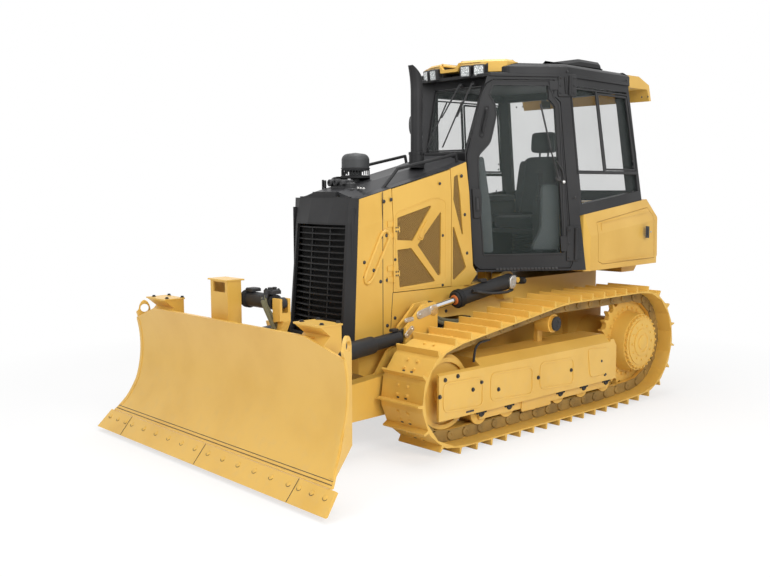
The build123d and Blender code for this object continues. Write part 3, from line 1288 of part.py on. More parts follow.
def centre_bracket():
    """Tall box in the middle of the blade with a window in its front, and the two lugs behind it
    that hold the tilt rod's eye in wide holes."""
    left, right, front, rear = COLUMN_LEFT_Y, COLUMN_RIGHT_Y, COLUMN_FRONT_X, COLUMN_REAR_X
    plate, foot = 12, 815
    body = block(front - plate, front, right, left, foot, COLUMN_TOP_Z)
    for y in (right, left - plate):
        body += block(rear, front, y, y + plate, foot, COLUMN_TOP_Z)
    body += block(rear - 22, front + 14, right - 14, left + 8, COLUMN_TOP_Z, COLUMN_TOP_Z + 10)
    body -= block(front - plate - 1, front + 1, right + 34, left - 30, COLUMN_TOP_Z - 78, COLUMN_TOP_Z - 10)
    body -= moldboard_front_side()
    # lugs each side of the eye
    inner, outer = TILT_X - TILT_LUG_HALF, TILT_X + TILT_LUG_HALF
    for x in (inner - 14, outer):
        lug = front_prism([(TILT_EYE_Y - 60, TILT_Z + 45), (TILT_EYE_Y + 42, TILT_Z + 45),
                           (TILT_EYE_Y + 42, TILT_Z - 60), (TILT_EYE_Y + 70, 820), (TILT_EYE_Y - 90, 820)],
                          x, x + 14)
        body += lug - bar((x - 5, TILT_EYE_Y, TILT_Z), (x + 20, TILT_EYE_Y, TILT_Z), LIFT_PIN_RADIUS + 5)
    # shelf that ties the lugs and the box to the blade's back
    shelf = block(inner - 14, 1900, TILT_EYE_Y - 90, left, 800, 830) - moldboard_front_side()
    return body + shelf


def cutting_edge():
    """Centre edges and slant-ended end bits below the moldboard."""
    slope = math.atan2(EDGE_TOP_Z - EDGE_TIP_Z, EDGE_TIP_X - EDGE_TOP_X)
    out = (math.sin(slope), math.cos(slope))
    profile = [(EDGE_TOP_X + 0.5, EDGE_TOP_Z - 0.5), (EDGE_TIP_X, EDGE_TIP_Z),
               (EDGE_TIP_X - EDGE_PLATE * out[0], EDGE_TIP_Z - EDGE_PLATE * out[1] + 14),
               (EDGE_TOP_X - EDGE_PLATE * out[0], EDGE_TOP_Z - EDGE_PLATE * out[1])]
    lean = (BLADE_HALF_TIP - EDGE_HALF_TOP) / (EDGE_TOP_Z - EDGE_TIP_Z)
    low, high = EDGE_TIP_Z - 40, EDGE_TOP_Z + 40
    half = [(BLADE_HALF_TIP + 40 * lean, low), (EDGE_HALF_TOP - 40 * lean, high)]
    slant = front_prism(half + [(-y, z) for y, z in reversed(half)], 1900, 2300)
    pieces = []
    for near, far in ((-1420, -1013), (-1011, -1), (1, 1011), (1013, 1420)):
        pieces.append(side_prism(profile, near, far) & slant)
    return pieces


# Cylinders

def cylinder(base, eye, axis, neck, length, rod_start, barrel_radius, rod_radius, eye_width, pin_half):
    """Barrel and rod between two pins that both lie along axis. The barrel's tube runs from neck to
    length, seen from the base pin. The rod starts at rod_start and holds its own eye pin."""
    base, eye, axis = Vector(*base), Vector(*eye), Vector(*axis)
    way = (eye - base).normalized()

    def across(centre, half, radius):
        return bar(tuple(centre - axis * half), tuple(centre + axis * half), radius)

    barrel = bar(tuple(base + way * neck), tuple(base + way * length), barrel_radius)
    barrel += across(base, eye_width / 2, 38) + bar(tuple(base), tuple(base + way * (neck + 5)), 24)
    barrel += bar(tuple(base + way * (length - 50)), tuple(base + way * length), barrel_radius + 8)
    barrel -= across(base, eye_width, PIN_RADIUS + PIN_RUN)
    barrel -= bar(tuple(base + way * (neck + 20)), tuple(base + way * (length + 5)), rod_radius + PIN_RUN)
    rod = bar(tuple(base + way * rod_start), tuple(eye - way * 20), rod_radius)
    rod += across(eye, eye_width / 2, 36) + across(eye, pin_half, LIFT_PIN_RADIUS)
    return barrel, rod


def angle_cylinder():
    """Left angle cylinder: its barrel ends in two ears over and under the ball."""
    base = Vector(ANGLE_BASE_X, ANGLE_BASE_Y, ANGLE_BASE_Z)
    eye = Vector(ANGLE_EYE_X, ANGLE_EYE_Y, ANGLE_EYE_Z)
    way = (eye - base).normalized()
    neck, length, rod_start, radius, rod_radius = 82, 700, 360, 48, 24
    barrel = bar(tuple(base + way * neck), tuple(base + way * length), radius)
    barrel += bar(tuple(base + way * (length - 50)), tuple(base + way * length), radius + 8)
    for low, high in ((-43, -31), (31, 43)):
        ear = bar(tuple(base + Vector(0, 0, low)), tuple(base + Vector(0, 0, high)), 25)
        ear += block(base.X, base.X + neck + 6, base.Y - 18, base.Y + 18, base.Z + low, base.Z + high)
        barrel += ear
    barrel += block(base.X + 45, base.X + neck + 6, base.Y - 18, base.Y + 18, base.Z - 40, base.Z + 40)
    barrel -= bar(tuple(base - Vector(0, 0, 60)), tuple(base + Vector(0, 0, 60)), BALL_PIN_RADIUS + PIN_RUN)
    barrel -= bar(tuple(base + way * (neck + 10)), tuple(base + way * (length + 5)), rod_radius + PIN_RUN)
    rod = bar(tuple(base + way * rod_start), tuple(eye - way * 20), rod_radius)
    rod += bar(tuple(eye - Vector(0, 0, 26)), tuple(eye + Vector(0, 0, 26)), 36)
    return barrel, rod


def lift_cap():
    """Cap of the lift rod's pin, outside the left arm's outer lug."""
    y = ARM_Y + ARM_WIDTH
    return bar((LIFT_EYE_X, y + 3, LIFT_EYE_Z), (LIFT_EYE_X, y + 11, LIFT_EYE_Z), 40)


def main():
    for side, name in ((1, "left"), (-1, "right")):
        save(f"track_{name}", track(side))
    save("track_frames", track_frame(1), track_frame(-1))
    save("idlers", idler(1), idler(-1))
    save("sprockets", sprocket(1), sprocket(-1))
    drive = final_drive()
    save("final_drives", drive, mirrored(drive))
    save("track_rollers", *[track_roller(x, side) for side in (1, -1) for x in track_roller_places()])
    save("carrier_rollers", carrier_roller(1), carrier_roller(-1))
    save("main_frame", main_frame())
    save("drawbar", drawbar())
    save("engine_block", engine_block())
    save("radiator_core", radiator_core())
    save("hood_top", hood_top())
    panel = front_side_panel()
    save("front_side_panels", panel, mirrored(panel))
    panel = rear_side_panel()
    save("rear_side_panels", panel, mirrored(panel))
    panel = engine_door()
    save("engine_door_left", panel)
    save("engine_door_right", mirrored(panel))
    save("nose_cowl", nose_cowl())
    save("grille", grille())
    save("exhaust_stack", exhaust_stack())
    save("pre_cleaner", pre_cleaner())
    rail = hood_rail()
    save("hood_rails", rail, mirrored(rail))
    save("cab_frame", cab_frame())
    save("cab_roof", cab_roof())
    save("cab_tub", cab_tub())
    save("front_shroud", front_shroud())
    save("rear_shroud", rear_shroud())
    save("ac_cover", ac_cover())
    pane = window_left()
    save("side_windows", pane, mirrored(pane))
    save("windscreen", windscreen())
    save("rear_window", rear_window())
    door, glass = cab_door(), cab_door_glass()
    save("cab_door_left", door)
    save("cab_door_right", mirrored(door))
    save("door_glass_left", glass)
    save("door_glass_right", mirrored(glass))
    save("seat", seat())
    save("consoles", *consoles())
    box = rear_box_body()
    save("rear_boxes", box, mirrored(box))
    plate = service_door()
    save("service_door_left", plate)
    save("service_door_right", mirrored(plate))
    save("fuel_tank", fuel_tank())
    save("c_frame", c_frame())
    save("swivel", swivel())
    save("blade", blade())
    save("cutting_edge", *cutting_edge())
    lift = cylinder((LIFT_BASE_X, LIFT_Y, LIFT_BASE_Z), (LIFT_EYE_X, LIFT_Y, LIFT_EYE_Z), (0, 1, 0),
                    neck=42, length=680, rod_start=335, barrel_radius=60, rod_radius=25,
                    eye_width=50, pin_half=56)
    lift = (lift[0], lift[1] + lift_cap())
    for kind, (barrel, rod) in (("lift", lift), ("angle", angle_cylinder())):
        save(f"{kind}_barrel_left", barrel)
        save(f"{kind}_rod_left", rod)
        save(f"{kind}_barrel_right", mirrored(barrel))
        save(f"{kind}_rod_right", mirrored(rod))
    ball = angle_ball()
    save("angle_ball_left", ball)
    save("angle_ball_right", mirrored(ball))
    barrel, rod = cylinder((TILT_X, TILT_BASE_Y, TILT_Z), (TILT_X, TILT_EYE_Y, TILT_Z), (1, 0, 0),
                           neck=60, length=400, rod_start=180, barrel_radius=52, rod_radius=24,
                           eye_width=42, pin_half=42)
    save("tilt_barrel", barrel)
    save("tilt_rod", rod)


main()
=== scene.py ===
# %% [markdown]
# # A small crawler dozer: the looks
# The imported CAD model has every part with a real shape: tracks, frames, hood, cab, blade and
# cylinders. This script loads it as a fixed frame and gives it what a workshop adds last: paint,
# glass, screens, bolts, hoses, lamps, wipers and upholstery. Each piece rides on the CAD body that
# carries it, so the blade, the doors and the cylinders can still move.

# %% Load the frame
import json
import math

import bpy
import numpy as np
from mathutils import Matrix


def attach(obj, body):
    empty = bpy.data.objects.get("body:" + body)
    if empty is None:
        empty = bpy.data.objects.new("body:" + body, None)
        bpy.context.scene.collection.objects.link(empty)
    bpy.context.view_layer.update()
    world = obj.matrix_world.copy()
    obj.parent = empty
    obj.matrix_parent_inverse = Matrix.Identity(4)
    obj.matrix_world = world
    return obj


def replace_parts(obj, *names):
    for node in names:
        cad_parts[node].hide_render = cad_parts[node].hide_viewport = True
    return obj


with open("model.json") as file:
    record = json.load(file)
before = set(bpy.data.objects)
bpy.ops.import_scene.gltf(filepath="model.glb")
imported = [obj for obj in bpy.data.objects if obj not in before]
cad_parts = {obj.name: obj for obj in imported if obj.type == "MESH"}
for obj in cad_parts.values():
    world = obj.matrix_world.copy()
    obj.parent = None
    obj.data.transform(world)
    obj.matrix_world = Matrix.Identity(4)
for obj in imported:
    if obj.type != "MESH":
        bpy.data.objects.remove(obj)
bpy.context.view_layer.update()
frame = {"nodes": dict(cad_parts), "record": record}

# %% [markdown]
# ## Sizes
# The CAD source is drawn in millimetres from a point a little behind the middle of the machine, and
# packed in metres. Writing the new pieces in the same millimetres keeps their numbers comparable
# with a drawing, so one function turns them into the frame's metres at the very end.

# %% From drawing millimetres to the frame
DATUM = np.array([14.5, 0.0, 0.0])


def to_frame(points):
    """Millimetres of the drawing to metres of the frame: add the datum, divide by a thousand."""
    return (np.asarray(points, float) + DATUM) / 1000


def unit(vector):
    """The vector divided by its length."""
    vector = np.asarray(vector, float)
    return vector / np.linalg.norm(vector)


print("the drawing's origin lies at", to_frame([0, 0, 0]))

# %% [markdown]
# ## The camera
# The picture is taken from the machine's front left, a little above the hood, with a lens of about
# 43 mm. The camera's axes are worked out from its heading, its tilt and a trace of roll, which is
# surer than turning it three times in a row, because the columns of its matrix are the axes.

# %% The camera
HEADING, TILT, ROLL = math.radians(227.063), math.radians(-6.3016), -0.00276
LENS_PIXELS, PHOTO_WIDTH, FILM_WIDTH = 929.09, 770, 36.0
STANDPOINT = (5.3028, 5.2228, 1.8528)
ahead = np.array([math.cos(HEADING) * math.cos(TILT), math.sin(HEADING) * math.cos(TILT),
                  math.sin(TILT)])
level = unit(np.cross(ahead, [0, 0, 1]))
upright = np.cross(level, ahead)
right = level * math.cos(ROLL) + upright * math.sin(ROLL)
above = upright * math.cos(ROLL) - level * math.sin(ROLL)
pose = np.eye(4)
pose[:3, 0], pose[:3, 1], pose[:3, 2] = right, above, -ahead
pose[:3, 3] = STANDPOINT
lens = bpy.data.cameras.new("photo_view")
lens.sensor_width = FILM_WIDTH
lens.lens = FILM_WIDTH * LENS_PIXELS / PHOTO_WIDTH
camera = bpy.data.objects.new("photo_view", lens)
camera.matrix_world = Matrix(pose)
bpy.context.collection.objects.link(camera)
bpy.context.scene.camera = camera
print("lens", round(lens.lens, 2), "mm")

# %% [markdown]
# ## Shader maths
# A finish is mostly arithmetic on noise. Adding a Math node for each sum by hand hides the formula,
# so a small class wraps a node's output and turns +, - and * into Math nodes. Colours go through Mix
# nodes instead, because a Math node would turn them grey.

# %% Sockets that add up
class Wire:
    """One output of a node. Arithmetic on it adds a Math node and gives that node's output."""

    def __init__(self, finish, socket):
        self.finish = finish
        self.socket = socket

    def math(self, operation, *values):
        return self.finish.node("ShaderNodeMath", {"operation": operation}, dict(enumerate(values)))

    def __add__(self, other):
        return self.math("ADD", self, other)

    def __sub__(self, other):
        return self.math("SUBTRACT", self, other)

    def __rsub__(self, other):
        return self.math("SUBTRACT", other, self)

    def __mul__(self, other):
        return self.math("MULTIPLY", self, other)

    __radd__ = __add__
    __rmul__ = __mul__

    def sine(self):
        return self.math("SINE", self)

    def size(self):
        return self.math("ABSOLUTE", self)

    def between(self, low, high):
        """0 below low, 1 above high, and a smooth rise from one to the other."""
        return self.finish.node("ShaderNodeMapRange", {"interpolation_type": "SMOOTHSTEP"},
                                {"Value": self, "From Min": low, "From Max": high})


class Finish:
    """A material in the making: one Principled shader, and nodes added by name."""

    def __init__(self, name, colour, **sockets):
        self.material = bpy.data.materials.new(name)
        self.material.use_nodes = True
        self.tree = self.material.node_tree
        self.shader = self.tree.nodes["Principled BSDF"]
        self.feed(self.shader.inputs["Base Color"], colour)
        for key, value in sockets.items():
            self.feed(self.shader.inputs[key.replace("_", " ").title()], value)

    def feed(self, socket, value):
        if isinstance(value, Wire):
            self.tree.links.new(value.socket, socket)
        elif isinstance(value, (tuple, list)) and len(value) == 3 and socket.type == "RGBA":
            socket.default_value = (*value, 1)
        else:
            socket.default_value = value

    def node(self, kind, settings=None, inputs=None, output=0):
        node = self.tree.nodes.new(kind)
        for key, value in (settings or {}).items():
            setattr(node, key, value)
        for key, value in (inputs or {}).items():
            self.feed(node.inputs[key], value)
        return Wire(self, node.outputs[output])

    def place(self):
        return self.node("ShaderNodeTexCoord", output="Object")

    def axes(self):
        """The x, y and z of the surface, in metres."""
        split = self.tree.nodes.new("ShaderNodeSeparateXYZ")
        self.feed(split.inputs[0], self.place())
        return [Wire(self, split.outputs[index]) for index in range(3)]

    def noise(self, size, detail, stretch=None):
        """Cloudy noise from 0 to 1 with blobs of about that size in metres."""
        where = self.place()
        if stretch:
            where = self.node("ShaderNodeMapping", inputs={"Vector": where, "Scale": stretch})
        return self.node("ShaderNodeTexNoise",
                         inputs={"Vector": where, "Scale": 1 / size, "Detail": detail})

    def cells(self, size):
        """The distance to the nearest wall between cells of about that size in metres."""
        return self.node("ShaderNodeTexVoronoi", {"feature": "DISTANCE_TO_EDGE"},
                         {"Vector": self.place(), "Scale": 1 / size})

    def mix(self, share, first, second):
        """A colour between two colours."""
        return self.node("ShaderNodeMix", {"data_type": "RGBA"}, {0: share, 6: first, 7: second},
                         output=2)

    def paint(self, colour):
        self.feed(self.shader.inputs["Base Color"], colour)

    def rough(self, value):
        self.feed(self.shader.inputs["Roughness"], value)

    def relief(self, height, depth):
        """Bumps as deep as depth metres, from a height of 0 to 1."""
        bump = self.node("ShaderNodeBump", inputs={"Height": height, "Distance": depth, "Strength": 1.0})
        self.feed(self.shader.inputs["Normal"], bump)


print("wires ready")

# %% [markdown]
# ## Paints
# New machines are sprayed: a warm yellow topcoat with a faint orange peel over flat plate, and a
# rougher skin where the same paint lies over cast or flame-cut steel. Both have the same colour, so
# one function makes them, and only the relief and the gloss differ. A little dust sits low down.

# %% Yellow and black paint
YELLOW = (0.74, 0.452, 0.088)
YELLOW_DEEP = (0.67, 0.39, 0.064)
DUST = (0.50, 0.40, 0.25)
BLACK = (0.021, 0.021, 0.022)
BLACK_WORN = (0.033, 0.033, 0.034)


def painted(name, colour, deep, peel, depth, gloss, coat, shine=0.5):
    """Colour drifts between two tones with slow noise, and fine noise of size peel lifts the surface
    by depth. Roughness is gloss plus a tenth of the slow noise. Dust is thicker the lower it lies."""
    finish = Finish(name, colour, coat_weight=coat, coat_roughness=0.18)
    finish.feed(finish.shader.inputs["Specular IOR Level"], shine)
    slow = finish.noise(0.45, 4.0)
    fine = finish.noise(peel, 2.0)
    height = finish.axes()[2]
    low = 1 - height.between(0.05, 0.9)
    dusty = low * finish.noise(0.06, 6.0).between(0.45, 0.8) * 0.15
    finish.paint(finish.mix(dusty, finish.mix(slow.between(0.35, 0.75), colour, deep), DUST))
    finish.rough(slow * 0.1 + gloss + dusty * 0.5)
    finish.relief(fine, depth)
    return finish.material


yellow_paint = painted("yellow_paint", YELLOW, YELLOW_DEEP, 0.004, 0.00012, 0.36, 0.20)
yellow_cast = painted("yellow_cast", YELLOW, YELLOW_DEEP, 0.007, 0.0006, 0.48, 0.05)
black_paint = painted("black_paint", BLACK, BLACK_WORN, 0.005, 0.00012, 0.42, 0.02, 0.22)
hood_black = painted("hood_black", (0.026, 0.026, 0.028), (0.038, 0.038, 0.040), 0.004, 0.0001, 0.34,
                     0.03, 0.22)
cast_black = painted("cast_black", (0.016, 0.016, 0.016), (0.034, 0.031, 0.028), 0.006, 0.0006, 0.55,
                     0.0, 0.2)
print("paints", [material.name for material in bpy.data.materials][-5:])

# %% [markdown]
# ## Metals
# Chromed rods are mirror smooth with faint turning marks across them. Zinc-plated pins and plates
# are cloudy. Both are the same shader with a full Metallic, so the whole difference lies in how
# noise drives the roughness.

# %% Metals
rod_chrome_finish = Finish("rod_chrome", (0.72, 0.73, 0.75), metallic=1.0)
marks = rod_chrome_finish.noise(0.01, 2.0, (6.0, 0.6, 6.0))
rod_chrome_finish.rough(marks * 0.10 + 0.08)
rod_chrome_finish.relief(marks, 0.00003)
rod_chrome = rod_chrome_finish.material

bare_steel_finish = Finish("bare_steel", (0.55, 0.54, 0.52), metallic=1.0)
clouds = bare_steel_finish.noise(0.02, 5.0)
bare_steel_finish.paint(bare_steel_finish.mix(clouds, (0.42, 0.41, 0.39), (0.68, 0.67, 0.65)))
bare_steel_finish.rough(clouds * 0.2 + 0.28)
bare_steel_finish.relief(clouds, 0.0001)
bare_steel = bare_steel_finish.material
print("metals ready")

# %% [markdown]
# ## Plastic, rubber and glass
# Moulded trim and rubber have a fine leather grain, which the walls between random cells draw well.
# The glass is tinted and lets most light through. A thin pane does that best with transparency: a
# refracting pane needs two faces with nothing between them to look right from every side.

# %% Plastic, rubber and glass
def grained(name, colour, light, size, depth, gloss):
    """Cells of the given size as a leather grain, over slow noise in the colour."""
    finish = Finish(name, colour)
    cells = finish.cells(size)
    finish.paint(finish.mix(finish.noise(0.2, 4.0).between(0.3, 0.8), colour, light))
    finish.rough(finish.noise(0.05, 3.0) * 0.12 + gloss)
    finish.relief(cells.between(0.0, 0.25), depth)
    return finish.material


trim_plastic = grained("trim_plastic", (0.038, 0.040, 0.041), (0.050, 0.052, 0.053), 0.0035, 0.00005, 0.50)
rubber = grained("rubber", (0.022, 0.022, 0.023), (0.034, 0.034, 0.035), 0.006, 0.0001, 0.62)
lens_housing = grained("lens_housing", (0.030, 0.030, 0.032), (0.040, 0.040, 0.042), 0.004, 0.0001,
                       0.45)

glass_finish = Finish("glass", (0.10, 0.125, 0.118), roughness=0.02, alpha=0.12)
film = glass_finish.noise(0.5, 2.0)
glass_finish.feed(glass_finish.shader.inputs["Alpha"], film * 0.05 + 0.10)
glass_finish.rough(film * 0.03 + 0.01)
glass = glass_finish.material
print("plastics and glass ready")

# %% [markdown]
# ## Upholstery and hose cloth
# The seat's cover and the hoses' outer braid are woven. Two crossed waves make the weave: where
# both are high a thread lies on top, and the same numbers colour it and lift it.

# %% Upholstery and hose cloth
def woven(name, colour, light, pitch, depth):
    """Two crossed sine waves of the thread's pitch: threads rise where their product is high."""
    finish = Finish(name, colour, roughness=0.85, sheen_weight=0.25)
    x, y, z = finish.axes()
    turn = 2 * math.pi / pitch
    threads = ((x + y) * turn).sine() * ((z + x * 0.3) * turn).sine() * 0.5 + 0.5
    patches = finish.noise(0.08, 4.0)
    finish.paint(finish.mix(threads * 0.6 + patches * 0.3, colour, light))
    finish.rough(patches * 0.15 + 0.75)
    finish.relief(threads, depth)
    return finish.material


seat_fabric = woven("seat_fabric", (0.026, 0.028, 0.029), (0.040, 0.043, 0.044), 0.004, 0.0001)
braid_olive = woven("braid_olive", (0.085, 0.080, 0.040), (0.17, 0.16, 0.085), 0.006, 0.0004)
print("cloth ready")

# %% [markdown]
# ## Paint the CAD nodes
# Each node's record slot already says what it is made of, so the nodes take their finish from a
# table of slots. Nothing is moved or reshaped; only the material in the object's slot changes.

# %% Finishes on the CAD nodes
FINISHES = {"yellow_paint": yellow_paint, "yellow_cast": yellow_cast, "black_paint": black_paint,
            "hood_black": hood_black, "cast_black": cast_black, "rod_chrome": rod_chrome,
            "bare_steel": bare_steel, "trim_plastic": trim_plastic, "rubber": rubber, "glass": glass,
            "seat_fabric": seat_fabric}
for part in frame["record"]["subparts"]:
    node = frame["nodes"][part["node"]]
    node.data.materials.clear()
    node.data.materials.append(FINISHES[part["material_slot"]])

# %% [markdown]
# ## Tools for shapes
# Every added piece is made of a few kinds of surface: a profile turned round an axis, a circle
# carried along a path, a flat outline with some thickness, or a rim along an outline. Each function
# below works its points out as whole arrays and returns a part, which is an array of points with
# groups of faces. All of them close their ends, because an open shell would look hollow from
# behind. Many parts are then joined into one piece, so that the list of objects stays short.

# %% Joining parts into pieces
def outward(part):
    """Turn the faces outwards. The sum over the faces' fans of a . (b x c) is six times the volume,
    and it is negative where the faces point inwards."""
    points, groups = part
    centred = points - points.mean(0)
    total = 0.0
    for group in groups:
        for corner in range(1, group.shape[1] - 1):
            fan = centred[group[:, [0, corner, corner + 1]]]
            total += np.einsum("ij,ij->", fan[:, 0], np.cross(fan[:, 1], fan[:, 2]))
    return points, groups if total > 0 else [group[:, ::-1] for group in groups]


def joined(parts):
    """One part out of many: the faces count on from the points before them."""
    points, groups, start = [], [], 0
    for here, faces in map(outward, parts):
        points.append(here)
        groups += [group + start for group in faces]
        start += len(here)
    return np.concatenate(points), groups


def mirrored(part):
    """The same part on the right side: y changes its sign, and each face its direction."""
    points, groups = part
    return points * [1, -1, 1], [group[:, ::-1] for group in groups]


def on_side(parts, sign):
    """Parts drawn on the left: as they are for sign 1, mirrored for sign -1."""
    return parts if sign > 0 else [mirrored(part) for part in parts]


def both(parts):
    """Parts of the left side, and then their mirror images."""
    return parts + on_side(parts, -1)


def piece(name, parts, finish, body, sharp=32):
    """One object from parts in drawing millimetres, smooth except where faces meet sharply."""
    points, groups = joined(parts)
    mesh = bpy.data.meshes.new(name)
    faces = [face for group in groups for face in group.tolist()]
    mesh.from_pydata(to_frame(points).tolist(), [], faces)
    mesh.shade_smooth()
    mesh.set_sharp_from_angle(angle=math.radians(sharp))
    mesh.materials.append(finish)
    thing = bpy.data.objects.new(name, mesh)
    bpy.context.collection.objects.link(thing)
    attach(thing, body)
    COUNTS[name] = sum(len(group) * (group.shape[1] - 2) for group in groups)
    return thing


COUNTS = {}
POLE = 0.5
SIDES = (("left", 1), ("right", -1))
LEFT, UP = np.array([0, 1.0, 0]), np.array([0, 0, 1.0])
print("joining ready")

# %% [markdown]
# ## Kinds of surface
# These are the few kinds of surface that the whole dress is made of. Blender's own modifiers could
# extrude, spin and bevel as well, but the sums are short, and they put every ring of points where
# the next step expects it.

# %% Surfaces
def strips(rows, count, closed=False):
    """Quads between neighbouring rings of count points; the last ring meets the first if closed."""
    here = np.arange(rows * count).reshape(rows, count)
    after = np.roll(here, -1, 0)
    if not closed:
        here, after = here[:-1], after[:-1]
    return np.stack([here, after, np.roll(after, -1, 1), np.roll(here, -1, 1)], -1).reshape(-1, 4)


def capped(rings):
    """Skin through rings of the same number of points, closed by a flat face at each end."""
    rows, count = len(rings), len(rings[0])
    first, last = np.arange(count)[None, :], np.arange((rows - 1) * count, rows * count)[None, ::-1]
    return np.concatenate(rings), [strips(rows, count), first, last]


def turned(profile, origin, axis, sides, hollow=False):
    """A profile of (distance along the axis, radius) turned round it. A hollow one is a closed loop,
    such as a ring; otherwise both ends are capped."""
    axis = unit(axis)
    across = unit(np.cross(axis, [0.31, 0.17, 0.93] if abs(axis[2]) < 0.9 else [1, 0, 0]))
    beside = np.cross(axis, across)
    along, radius = np.asarray(profile, float).T
    angle = np.linspace(0, 2 * np.pi, sides, endpoint=False)
    circle = np.cos(angle)[:, None] * across + np.sin(angle)[:, None] * beside
    points = np.asarray(origin, float) + along[:, None, None] * axis + radius[:, None, None] * circle
    if hollow:
        return points.reshape(-1, 3), [strips(len(along), sides, closed=True)]
    return capped(points)


def plug(radius, height, origin, axis, sides=12, edge=(2, 4), start=0):
    """A round or faceted head: straight sides, then a bevel of edge (along, inwards), and a flat top
    whose middle is closed by a ring of half a millimetre."""
    profile = [(start, radius), (height - edge[0], radius), (height, radius - edge[1]), (height, POLE)]
    return turned(profile, origin, axis, sides)


def tube(path, radius, sides=10, closed=False):
    """A circle carried along a path. Its two cross directions are turned from one point to the next
    just enough to stay square to the path, so that the tube doesn't twist."""
    path = np.asarray(path, float)
    if closed:
        tangent = np.roll(path, -1, 0) - np.roll(path, 1, 0)
    else:
        tangent = np.gradient(path, axis=0)
    tangent /= np.linalg.norm(tangent, axis=1)[:, None]
    guide = np.cross(tangent[0], [0, 0, 1] if abs(tangent[0][2]) < 0.9 else [1, 0, 0])
    frames = []
    for way in tangent:
        guide = unit(guide - way * (guide @ way))
        frames.append((guide, np.cross(way, guide)))
    frames = np.array(frames)
    angle = np.linspace(0, 2 * np.pi, sides, endpoint=False)
    turn = np.cos(angle)[:, None] * frames[:, None, 0] + np.sin(angle)[:, None] * frames[:, None, 1]
    reach = np.broadcast_to(np.asarray(radius, float), len(path))[:, None, None]
    points = path[:, None] + turn * reach
    return (points.reshape(-1, 3), [strips(len(path), sides, closed)]) if closed else capped(points)


def curve(points, count=32):
    """A smooth path through points. Each stretch is a cubic whose slope at a point is half the way
    from the point before it to the one after."""
    points = np.asarray(points, float)
    padded = np.concatenate([points[:1], points, points[-1:]])
    place = np.linspace(0, len(points) - 1, count)
    index = np.minimum(place.astype(int), len(points) - 2)
    t = (place - index)[:, None]
    a, b, c, d = (padded[index + step] for step in range(4))
    return 0.5 * (2 * b + (c - a) * t + (2 * a - 5 * b + 4 * c - d) * t ** 2
                  + (3 * b - a - 3 * c + d) * t ** 3)


def rounded(outline, radius, steps=4):
    """Round the corners: each becomes the parabola (1-t)^2 p + 2t(1-t) corner + t^2 q, where p and q
    lie on its two edges, radius away or nearly half the edge if that is shorter."""
    outline = np.asarray(outline, float)
    to_p, to_q = np.roll(outline, 1, 0) - outline, np.roll(outline, -1, 0) - outline
    length_p, length_q = (np.linalg.norm(edge, axis=1)[:, None] for edge in (to_p, to_q))
    p = outline + to_p / length_p * np.minimum(radius, length_p * 0.48)
    q = outline + to_q / length_q * np.minimum(radius, length_q * 0.48)
    t = np.linspace(0, 1, steps + 1)[None, :, None]
    bend = (1 - t) ** 2 * p[:, None] + 2 * t * (1 - t) * outline[:, None] + t ** 2 * q[:, None]
    return bend.reshape(-1, outline.shape[1])


def inset(outline, out, amount):
    """Move every edge of a flat outline inwards by amount: a corner goes along the sum of its two
    edges' inward normals, divided by one plus their product."""
    edge = np.roll(outline, -1, 0) - outline
    edge = edge / np.maximum(np.linalg.norm(edge, axis=1), 1e-9)[:, None]
    inward = np.cross(out, edge)
    area = np.einsum("ij,ij->", np.cross(outline - outline[0], np.roll(outline, -1, 0) - outline[0]),
                     np.broadcast_to(out, outline.shape))
    inward *= 1 if area > 0 else -1
    before = np.roll(inward, 1, 0)
    blend = np.maximum(1 + np.einsum("ij,ij->i", inward, before), 0.35)[:, None]
    return outline + (inward + before) / blend * amount


def slab(outline, out, thick, bevel=0.0, sunk=0.0):
    """A flat outline given thickness along out, with a bevelled upper edge, starting sunk below."""
    outline, out = np.asarray(outline, float), unit(out)
    rings = [outline - out * sunk, outline + out * (thick - bevel)]
    if bevel:
        rings.append(inset(outline, out, bevel) + out * thick)
    return capped(rings)


def rim(outline, out, width, height, sunk=1.0):
    """A flat band with bevelled edges that follows an outline, width inwards and height along out."""
    outline, out = np.asarray(outline, float), unit(out)
    edge = min(width, height) * 0.3
    rings = [outline - out * sunk, outline + out * (height - edge), inset(outline, out, edge) + out * height,
             inset(outline, out, width - edge) + out * height,
             inset(outline, out, width) + out * (height - edge), inset(outline, out, width) - out * sunk]
    return np.concatenate(rings), [strips(len(rings), len(outline), closed=True)]


def box(low, high, bevel=3.0):
    """A block between two corners, with its upright and top edges bevelled."""
    (x1, y1, z1), (x2, y2, z2) = low, high
    outline = rounded([(x1, y1, z1), (x2, y1, z1), (x2, y2, z1), (x1, y2, z1)], bevel, 2)
    return slab(outline, UP, z2 - z1, bevel)


print("surfaces ready")

# %% [markdown]
# ## Bolts
# One bolt is drawn once, standing on the origin, and copied to all its places by matrix products.
# Copies as separate objects would be easier to move by hand, but hundreds of them would be a long
# list, and nobody moves a bolt.

# %% Bolts, copied by matrix
def frames_at(out):
    """Three directions for a fastener that stands along out: across, beside and out."""
    out = unit(out)
    across = unit(np.cross(UP if abs(out @ UP) < 0.95 else (1, 0, 0), out))
    return np.stack([across, np.cross(out, across), out])


def copies(template, places, axes):
    """The template's points times each copy's three directions, plus its place."""
    points, groups = outward(template)
    places = np.asarray(places, float).reshape(-1, 3)
    axes = np.broadcast_to(axes, (len(places), 3, 3))
    moved = np.einsum("ni,mij->mnj", points, axes) + places[:, None]
    step = (np.arange(len(places)) * len(points))[:, None, None]
    return moved.reshape(-1, 3), [(group[None] + step).reshape(-1, group.shape[1]) for group in groups]


